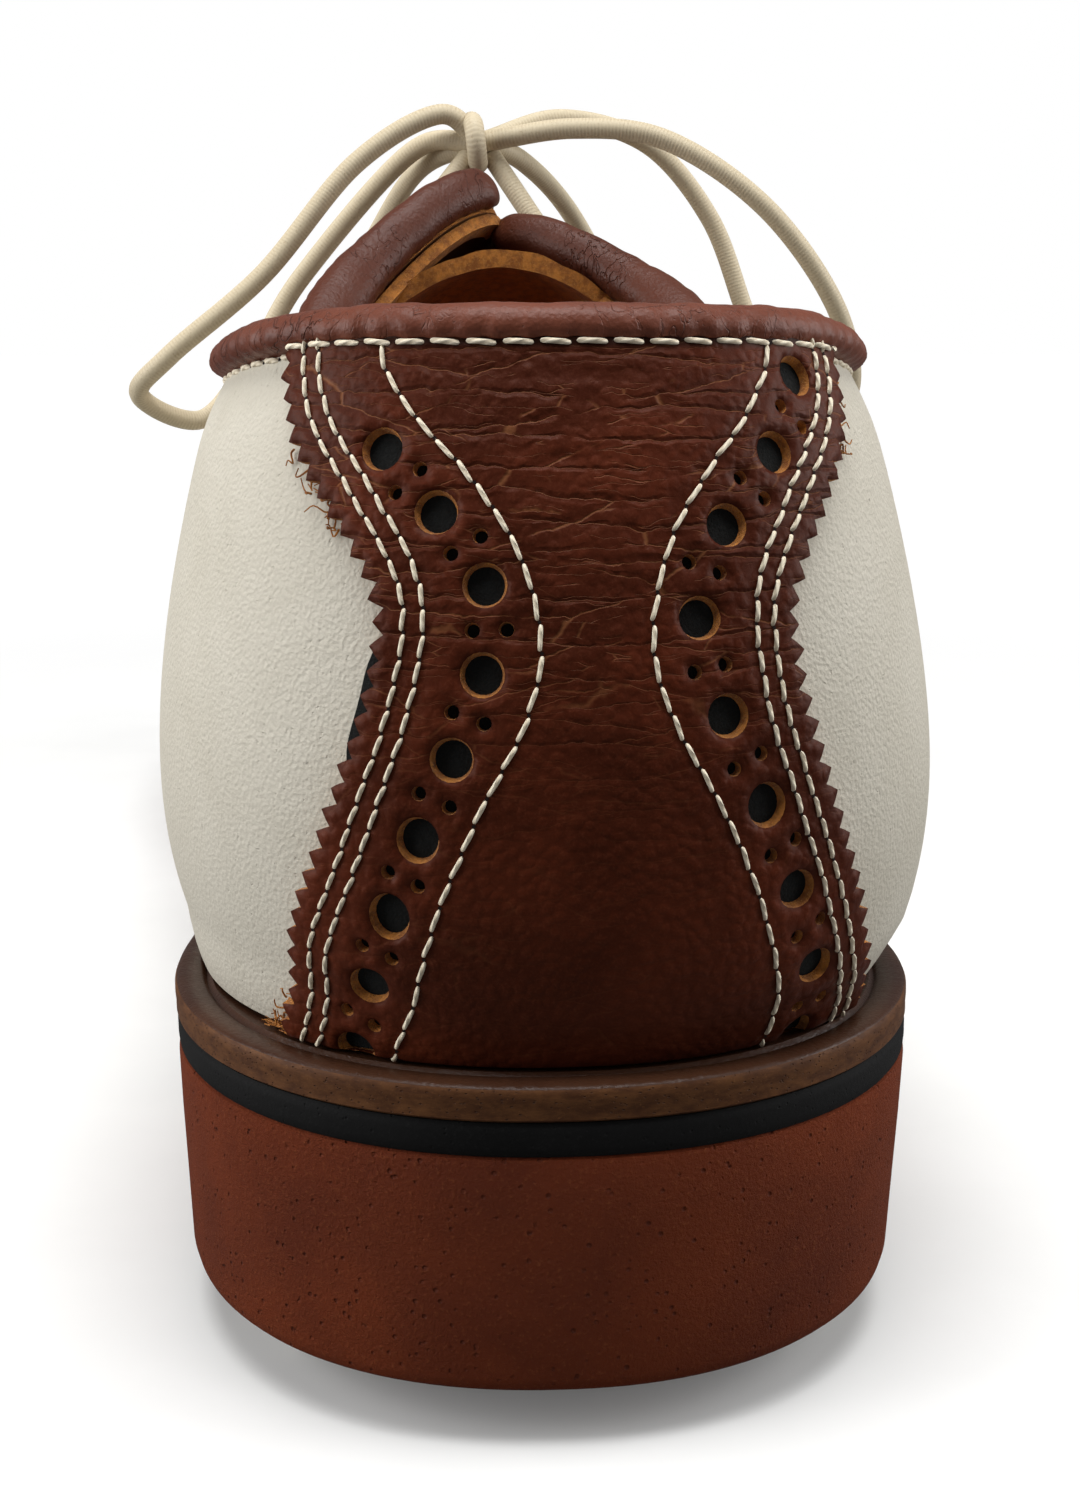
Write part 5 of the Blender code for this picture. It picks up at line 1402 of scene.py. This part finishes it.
def build_lace():
    """One waxed cord: bars through the eyelets, a wrapped knot, two loops and two tipped ends."""
    knot = over_ridge(EYELET_ROWS[0], KNOT_LIFT)
    rows = lace_rows()
    strands = [curve([knot + (1.4, 1, -1.5)] + rows + [knot + (-1.4, 1, -1.5)], 8)]
    for control in (LEFT_LOOP, RIGHT_LOOP, LEFT_END, RIGHT_END):
        strands.append(curve(knot + np.array(control, float), 14))
    turn = np.linspace(-0.35 * math.pi, 2.15 * math.pi, 60)
    strands.append(knot + points_from(turn * 0.28 - 1.6, 2.9 * np.cos(turn), 2.6 * np.sin(turn)))
    vertices, faces = tubes(strands, CORD_RADIUS, CORD_SIDES)
    made = link("waxed_lace", vertices, faces, (CORD,), slot="lace_cotton", replaces=("lace",))
    add_threads(made, strands, CORD_SIDES)
    for label, control in (("medial", LEFT_END), ("lateral", RIGHT_END)):
        control = knot + np.array(control, float)
        run = unit(control[-1] - control[-2])
        steps, radius = np.transpose(AGLET_STATIONS)
        vertices, faces = tubes([control[-1] + run * (steps[:, None] - 1.0)], radius, 20)
        link(
            f"aglet_{label}_tip", vertices, faces, (TIP,), slot="aglet_plastic",
            replaces=(f"aglet_{label}",), sharp=50,
        )


# ---------------------------------------------------------------- sole

WELT_REACH = ((10, 10), (45, 6), (110, 5.2), (200, 8.5), (287, 10))
WELT_THICKNESS, MIDSOLE_THICKNESS, OUTSOLE_THICKNESS = 3.1, 3.0, 6.6
WELT_SEWN_FROM = 62.0
WELT_WIDTH, HEEL_BREAST, BREAST_SLOPE, HEEL_TAPER = 15.0, 77.0, 2.5, (1.4, 0.4)
RECESS_RADIUS, RECESS_DEPTH, POCKET_RADIUS, POCKET_DEPTH = 11.4, 1.5, 8.8, 5.9
SOLE_UNDER = 1.25  # how far the sole's underside is below a cleat's joint


def rim_outline(arc, reach):
    """The bottom edge moved out in plan by reach, as (x, y)."""
    x, y = edge_point(arc)
    ahead_x, ahead_y = edge_point(arc + 0.5)
    back_x, back_y = edge_point(arc - 0.5)
    run_x, run_y = ahead_x - back_x, ahead_y - back_y
    length = np.hypot(run_x, run_y)
    return x + reach * run_y / length, y - reach * run_x / length


def outsole_bottom(y):
    """Flat under the heel, a steep breast, then one thickness of rubber under the forepart."""
    forepart = -WELT_THICKNESS - MIDSOLE_THICKNESS - OUTSOLE_THICKNESS
    share = np.clip((y - HEEL_BREAST) / BREAST_SLOPE, 0, 1)
    return -through(y, BASE_HEIGHT) * (1 - share) + forepart * share


def welt_reach(arc):
    return through(edge_point(arc)[1], WELT_REACH)


def all_round(name, section, materials, kinds, unevenness, count=900, **more):
    """A closed ring swept round the sole from (out past the welt's edge, height) points.

    unevenness(arcs, out, height) is added to each point's height.
    """
    arcs = np.linspace(0, 2 * HALF_ARC, count, endpoint=False)
    reach = welt_reach(arcs)
    rings = []
    for out, height in section:
        x, y = rim_outline(arcs, reach + out)
        z = height + unevenness(arcs, out, height)
        rings.append(to_world(points_from(x, y, z)))
    rings = np.stack(rings, axis=1)
    faces = ring_faces(count, len(section), closed=True)
    kinds = [kinds[k] for _ in range(count) for k in range(len(section))]
    return link(name, rings.reshape(-1, 3), faces, materials, face_material=kinds, **more)


def build_welt():
    """The leather welt: a groove by the upper, a stitch row, a burnished lip and a trimmed edge."""
    low = -WELT_THICKNESS
    upper_face = (
        (-WELT_WIDTH, low), (-WELT_WIDTH, -0.4), (-6.5, -0.35), (-4.8, -0.1), (-3.5, 0.05), (-3.0, -0.35),
        (-2.5, 0.05), (-1.3, 0.14), (-0.5, 0.08),
    )
    edge = (
        (-0.12, -0.14), (0.04, -0.5), (0.06, -1.2), (0.0, -2.0), (0.02, -2.75), (-0.14, low + 0.2),
        (-0.45, low),
    )

    def notches(arcs, out, height):
        on_lip = -2.0 < out < -0.2 and height >= 0
        return 0.05 * on_lip * np.sin(arcs * 2 * math.pi / 1.6)

    all_round(
        "stitched_welt", upper_face + edge, (WELT_TOP, WELT_EDGE), [0] * len(upper_face) + [1] * len(edge),
        notches, slot="welt_leather", replaces=("welt",),
    )

    heel = float(arc_at(WELT_SEWN_FROM))
    arcs = np.linspace(heel, 2 * HALF_ARC - heel, 1200)
    x, y = rim_outline(arcs, welt_reach(arcs) - 2.6)
    sew_along("welt_stitching", to_world(points_from(x, y, 0.05)), 3.1, 0.36)


def sew_along(name, path, pitch, radius):
    """A row of stitches along a world path that lies level."""
    length = path_length(path)
    count = int(length[-1] / pitch)
    share = np.linspace(-1, 1, STITCH_RINGS)
    at = (np.arange(count)[:, None] + 0.5 + 0.42 * share[None, :]) * length[-1] / count
    lines = sample(path, length, at.ravel()).reshape(count, STITCH_RINGS, 3)
    lines[..., 2] += radius * 0.3 - 2.0 * radius * np.abs(share) ** 4
    width = radius * np.sqrt(np.clip(1.12 - np.abs(share) ** 5, 0.12, 1))
    made = link(name, *tubes(lines, width, STITCH_SIDES), (THREAD,), sharp=70)
    add_threads(made, lines, STITCH_SIDES)


def slab(name, section, heights, material, tapers=(0, 0), **more):
    """A solid layer of the sole: side walls through a section, closed by ribs from side to side.

    section is (out past the welt's edge, share of the height from top to bottom) and heights gives the two.
    tapers is how far the heel draws in from top to bottom on the lateral and the medial side.
    """
    breast_end = HEEL_BREAST + BREAST_SLOPE
    breast = HEEL_BREAST + np.array([-0.3, 0, 0.3]), breast_end + np.array([-0.2, 0, 0.3])
    arcs = np.unique(np.concatenate([np.linspace(0, HALF_ARC, 260), arc_at(np.concatenate(breast))]))
    reach = welt_reach(arcs)
    heel_share = np.clip((HEEL_BREAST + 20 - edge_point(arcs)[1]) / 20, 0, 1)
    top, bottom = heights(edge_point(arcs)[1])
    halves = []
    off_centre = smooth_step(edge_point(arcs)[0] / 22)
    for side, taper in zip((1, -1), tapers):
        taper = heel_share * (np.mean(tapers) + (taper - np.mean(tapers)) * off_centre)
        rows = []
        for out, share in section:
            x, y = rim_outline(arcs, reach + out - taper * share)
            z = top + (bottom - top) * share
            rows.append(points_from(np.maximum(x, 0) * side, y, z))
        halves.append(np.stack(rows, axis=1))
    count, sides = halves[0].shape[:2]
    vertices = to_world(np.concatenate(halves).reshape(-1, 3))
    faces = []
    shift = count * sides
    for i in range(count - 1):
        for k in range(sides - 1):
            a, b = i * sides + k, (i + 1) * sides + k
            faces.append((a, a + 1, b + 1, b))
            faces.append((shift + a, shift + b, shift + b + 1, shift + a + 1))
        top_a, top_b = i * sides, (i + 1) * sides
        low_a, low_b = top_a + sides - 1, top_b + sides - 1
        faces.append((top_a, top_b, shift + top_b, shift + top_a))
        faces.append((low_a, shift + low_a, shift + low_b, low_b))
    made = link(name, vertices, faces, (material,), **more)
    clean = bmesh.new()
    clean.from_mesh(made.data)
    bmesh.ops.remove_doubles(clean, verts=clean.verts, dist=0.02 * MM)
    bmesh.ops.dissolve_degenerate(clean, edges=clean.edges, dist=1e-6)
    bmesh.ops.recalc_face_normals(clean, faces=clean.faces)
    clean.to_mesh(made.data)
    clean.free()
    made.data.shade_smooth()
    made.data.set_sharp_from_angle(angle=math.radians(35))
    return made


def build_sole():
    """Welt, black midsole and the brick rubber outsole with its pockets."""
    build_welt()
    under_welt = -WELT_THICKNESS
    under_midsole = under_welt - MIDSOLE_THICKNESS
    band = ((-0.35, 0.0), (-0.12, 0.1), (-0.05, 0.3), (-0.05, 0.7), (-0.12, 0.92), (-0.3, 1.0))

    def midsole_heights(y):
        return np.full_like(y, under_welt - 0.02), np.full_like(y, under_midsole)

    slab("black_midsole", band, midsole_heights, BLACK, slot="black_rubber", replaces=("midsole",))
    side = (
        (-0.5, 0.0), (-0.16, 0.012), (0.0, 0.05), (0.05, 0.3), (0.02, 0.6), (0.0, 0.93), (-0.22, 0.972),
        (-0.65, 0.992), (-1.3, 1.0),
    )

    def outsole_heights(y):
        return np.full_like(y, under_midsole - 0.02), outsole_bottom(y)

    outsole = slab(
        "rubber_outsole", side, outsole_heights, BRICK, HEEL_TAPER, slot="brick_rubber", replaces=("outsole",)
    )
    for number, (origin, upward) in cleat_axes().items():
        for radius, depth in ((RECESS_RADIUS, RECESS_DEPTH), (POCKET_RADIUS, POCKET_DEPTH)):
            vertices, faces = disc(radius, -SOLE_UNDER - 3, depth - SOLE_UNDER)
            placed = stand_on(origin, upward, vertices)
            cutter = link(f"cutter_{number}_{radius:.0f}", placed, faces, (BRICK,))
            modifier = outsole.modifiers.new(cutter.name, "BOOLEAN")
            modifier.object, modifier.operation, modifier.solver = cutter, "DIFFERENCE", "EXACT"
    bake(outsole)


def disc(radius, low, high, sides=40):
    """A closed cylinder about Z."""
    turn = np.linspace(0, 2 * math.pi, sides, endpoint=False)
    rings = [points_from(radius * np.cos(turn), radius * np.sin(turn), z) for z in (low, high)]
    return np.concatenate(rings), ring_faces(2, sides)


def bake(made):
    """Applies a piece's modifiers to its mesh and removes the cutters they used."""
    cutters = [modifier.object for modifier in made.modifiers if modifier.type == "BOOLEAN"]
    bpy.context.view_layer.update()
    graph = bpy.context.evaluated_depsgraph_get()
    mesh = bpy.data.meshes.new_from_object(made.evaluated_get(graph))
    made.modifiers.clear()
    made.data = mesh
    mesh.shade_smooth()
    mesh.set_sharp_from_angle(angle=math.radians(35))
    for cutter in cutters:
        bpy.data.objects.remove(cutter)


def cleat_axes():
    """Each cleat's number with its joint's point in millimetres and its upward direction."""
    axes = {}
    for joint in frame["joints"]:
        if joint["child"].startswith("cleat_"):
            number = int(joint["child"].split("_")[1])
            upward = unit(np.array(joint["axis"], float))
            axes[number] = (np.array(joint["pos_m"]) / MM, upward * (1 if upward[2] > 0 else -1))
    return axes


def build_cleats():
    """Soft cleats: a domed flange with swept legs and a lugged stud, each in its receptacle."""
    for number, (origin, upward) in cleat_axes().items():
        vertices, faces = cleat_shape()
        link(
            f"soft_cleat_{number}", stand_on(origin, upward, vertices), faces, (CLEAT,),
            f"cleat_{number}_body", "cleat_plastic", (f"cleat_{number}",), sharp=35,
        )
        cad = frame["nodes"][f"receptacle_{number}"]
        for material_slot in cad.material_slots:
            material_slot.material = CUP


CLEAT_LEGS = 8


def cleat_shape():
    """Vertices and faces of a cleat about its own axis, the ground side down."""
    profile = (
        (2.4, -2.85), (2.9, -2.7), (3.1, -2.3), (4.6, -2.0), (6.2, -1.75), (9.6, -1.35), (10.5, -1.15),
        (10.8, -0.8), (10.8, -0.25), (10.5, 0.0), (3.2, 0.0), (3.2, 2.4), (2.9, 2.7),
    )
    sides = 48
    turn = np.linspace(0, 2 * math.pi, sides, endpoint=False)
    vertices = [(r * math.cos(t), r * math.sin(t), z) for r, z in profile for t in turn]
    faces = ring_faces(len(profile), sides)
    ground = -(CLEAT_DROP + SOLE_UNDER)
    for leg in range(CLEAT_LEGS):
        turn = 2 * math.pi * leg / CLEAT_LEGS
        path = (
            (5.2, 0.0, -1.3), (6.3, 0.25, -2.6), (7.7, 0.8, -3.9), (8.9, 1.5, -5.1),
            (9.5, 2.0, ground + 0.35),
        )
        points = np.array([
            (x * math.cos(turn) - y * math.sin(turn), x * math.sin(turn) + y * math.cos(turn), z)
            for x, y, z in curve(path, 4)
        ])
        radius = np.linspace(1.75, 0.95, len(points))
        radius[-1] = 0.6
        across = np.array([math.cos(turn), math.sin(turn), 0.4])
        rings = tube_rings(points, radius, 12, across, 1.25)
        rings[..., 2] = np.maximum(rings[..., 2], ground)
        faces += ring_faces(len(points), 12, len(vertices))
        vertices += rings.reshape(-1, 3).tolist()
    lug = ((2, -1.7), (5.6, -1.5), (5.6, 1.5), (2, 1.7))
    for side in (1, -1):
        base = len(vertices)
        vertices += [(-v * side, u * side, w) for w in (1.55, 2.7) for u, v in lug]
        faces += [(base + k, base + (k + 1) % 4, base + 4 + (k + 1) % 4, base + 4 + k) for k in range(4)]
        faces += [(base + 3, base + 2, base + 1, base), (base + 4, base + 5, base + 6, base + 7)]
    return np.array(vertices), faces


BOARD_TOP, FOOTBED_THICKNESS = 2.7, 2.9  # heights over the last's bottom edge


def build_footbed():
    """Leather footbed on the insole board, a little raised along its sides."""
    arcs = np.linspace(0, HALF_ARC, 160)
    shares = np.linspace(-1, 1, 41)
    x, y = rim_outline(arcs, np.full_like(arcs, -1.2))
    x = np.maximum(x, 0)
    z = BOARD_TOP + FOOTBED_THICKNESS + 0.7 * np.abs(shares) ** 4
    top = points_from(x[:, None] * -shares, y[:, None], z)
    under = top - np.array([0, 0, FOOTBED_THICKNESS])
    both = to_world(np.concatenate([top.reshape(-1, 3), under.reshape(-1, 3)]))
    faces, _ = sheet_faces(*top.shape[:2])
    link("cupped_footbed", both, faces, (FOOTBED,), slot="footbed_leather", replaces=("footbed",))


HIDDEN_LAYERS = {
    "heel_counter": plain("counter_board", (0.20, 0.15, 0.10), 0.85, scale=1.2, depth=0.08),
    "toe_stiffener": plain("stiffener_board", (0.24, 0.19, 0.13), 0.85, scale=1.2, depth=0.08),
    "insole_board": plain("insole_leather", (0.32, 0.19, 0.10), 0.8, scale=1.6, depth=0.06),
    "cork_filler": plain("cork", (0.26, 0.14, 0.06), 0.9, wear=(0.10, 0.05, 0.02), scale=1.1, depth=0.25),
    "steel_shank": plain("spring_steel", (0.42, 0.43, 0.45), 0.35, 1.0),
}


def finish_hidden_layers():
    """The layers shut up inside the shoe keep their CAD solids, each in its own material."""
    for name, material in HIDDEN_LAYERS.items():
        for material_slot in frame["nodes"][name].material_slots:
            material_slot.material = material


# ---------------------------------------------------------------- stage

CAMERA_PLACE = (-15.45, -298.4, 96.0)
CAMERA_YAW, CAMERA_PITCH = 4.3, 12.9  # degrees: turned to the lateral side, and down
CAMERA_LENS = 47.6
FLOOR_NEAR, FLOOR_FAR, ROOM_LIGHT = 0.10, 0.34, 0.19

# Each lamp: its name, its place, target and size in metres, and its power in watts.
LAMPS = (
    ("top", (0.0, -0.15, 0.66), (0, -0.04, 0.06), (0.5, 0.35), 4.2),
    ("left", (-0.66, -0.12, 0.26), (0, -0.06, 0.05), (0.5, 0.5), 4.2),
    ("right", (0.66, -0.09, 0.30), (0, -0.06, 0.05), (0.5, 0.5), 3.4),
)


def area_light(name, place, target, size, power):
    light = bpy.data.lights.new(name, "AREA")
    light.shape = "RECTANGLE"
    light.size, light.size_y = size
    light.energy = power
    made = bpy.data.objects.new(name, light)
    made.location = place
    made.rotation_euler = (Vector(target) - Vector(place)).to_track_quat("-Z", "Y").to_euler()
    bpy.context.scene.collection.objects.link(made)


FLOOR_REACH = 3.0  # metres from the middle to an edge
FLOOR_BOUNCE = (0.16, 0.16, 0.16)  # how much light the floor throws back up at the shoe


def floor_material():
    """Pale and matt round the shoe. Further off it glows white to the camera alone: painted light that fades
    it to the white of the background.
    """
    s = Shader("pale_floor")
    from_shoe = s.add("ShaderNodeVectorMath", {0: s.place}, operation="LENGTH").outputs["Value"]
    seen = s.add("ShaderNodeLightPath").outputs["Is Camera Ray"]
    away = s.math("MULTIPLY", s.ramp(from_shoe, FLOOR_NEAR, FLOOR_FAR), seen)
    pale = s.mix(s.ramp(s.noise(0.05), 0.3, 0.7), (0.90, 0.90, 0.89), (0.88, 0.88, 0.87))
    colour = s.mix(away, s.mix(seen, FLOOR_BOUNCE, pale), (0, 0, 0))
    # Painted light: away from the shoe the floor glows white, for camera rays only.
    return s.finish(colour, 0.8, Emission_Color=(1, 1, 1, 1), Emission_Strength=away, Specular_IOR_Level=0.1)


def build_stage():
    """Pale floor, white surroundings, soft lamps and the camera behind the heel."""
    floor_mesh = bpy.data.meshes.new("floor")
    corners = [(x * FLOOR_REACH, y * FLOOR_REACH, 0) for x, y in ((-1, -1), (1, -1), (1, 1), (-1, 1))]
    floor_mesh.from_pydata(corners, [], [(0, 1, 2, 3)])
    floor_mesh.materials.append(floor_material())
    floor = bpy.data.objects.new("floor", floor_mesh)
    bpy.context.scene.collection.objects.link(floor)
    world = bpy.data.worlds.new("studio")
    world.use_nodes = True
    tree = world.node_tree
    seen = tree.nodes.new("ShaderNodeLightPath").outputs["Is Camera Ray"]
    strength = tree.nodes.new("ShaderNodeMapRange")
    strength.inputs["To Min"].default_value, strength.inputs["To Max"].default_value = ROOM_LIGHT, 1.0
    tree.links.new(seen, strength.inputs["Value"])
    tree.links.new(strength.outputs["Result"], tree.nodes["Background"].inputs["Strength"])
    tree.nodes["Background"].inputs["Color"].default_value = (1, 1, 1, 1)
    scene = bpy.context.scene
    scene.world = world
    scene.view_settings.view_transform = "Standard"
    for lamp in LAMPS:
        area_light(*lamp)
    camera = bpy.data.cameras.new("camera")
    camera.sensor_fit = "VERTICAL"
    camera.sensor_height = 36.0
    camera.lens = CAMERA_LENS
    camera.clip_start = 0.01
    made = bpy.data.objects.new("camera", camera)
    made.location = Vector(CAMERA_PLACE) * MM
    made.rotation_euler = (math.radians(90 - CAMERA_PITCH), 0, math.radians(-CAMERA_YAW))
    scene.collection.objects.link(made)
    scene.camera = made


# ---------------------------------------------------------------- the shoe

build_foxing()
build_frayed_fibres()
build_quarters()
build_facings()
build_vamp()
build_collar()
build_lining()
build_tongue()
build_eyelets()
build_lace()
build_sole()
build_cleats()
build_footbed()
finish_hidden_layers()
build_stage()
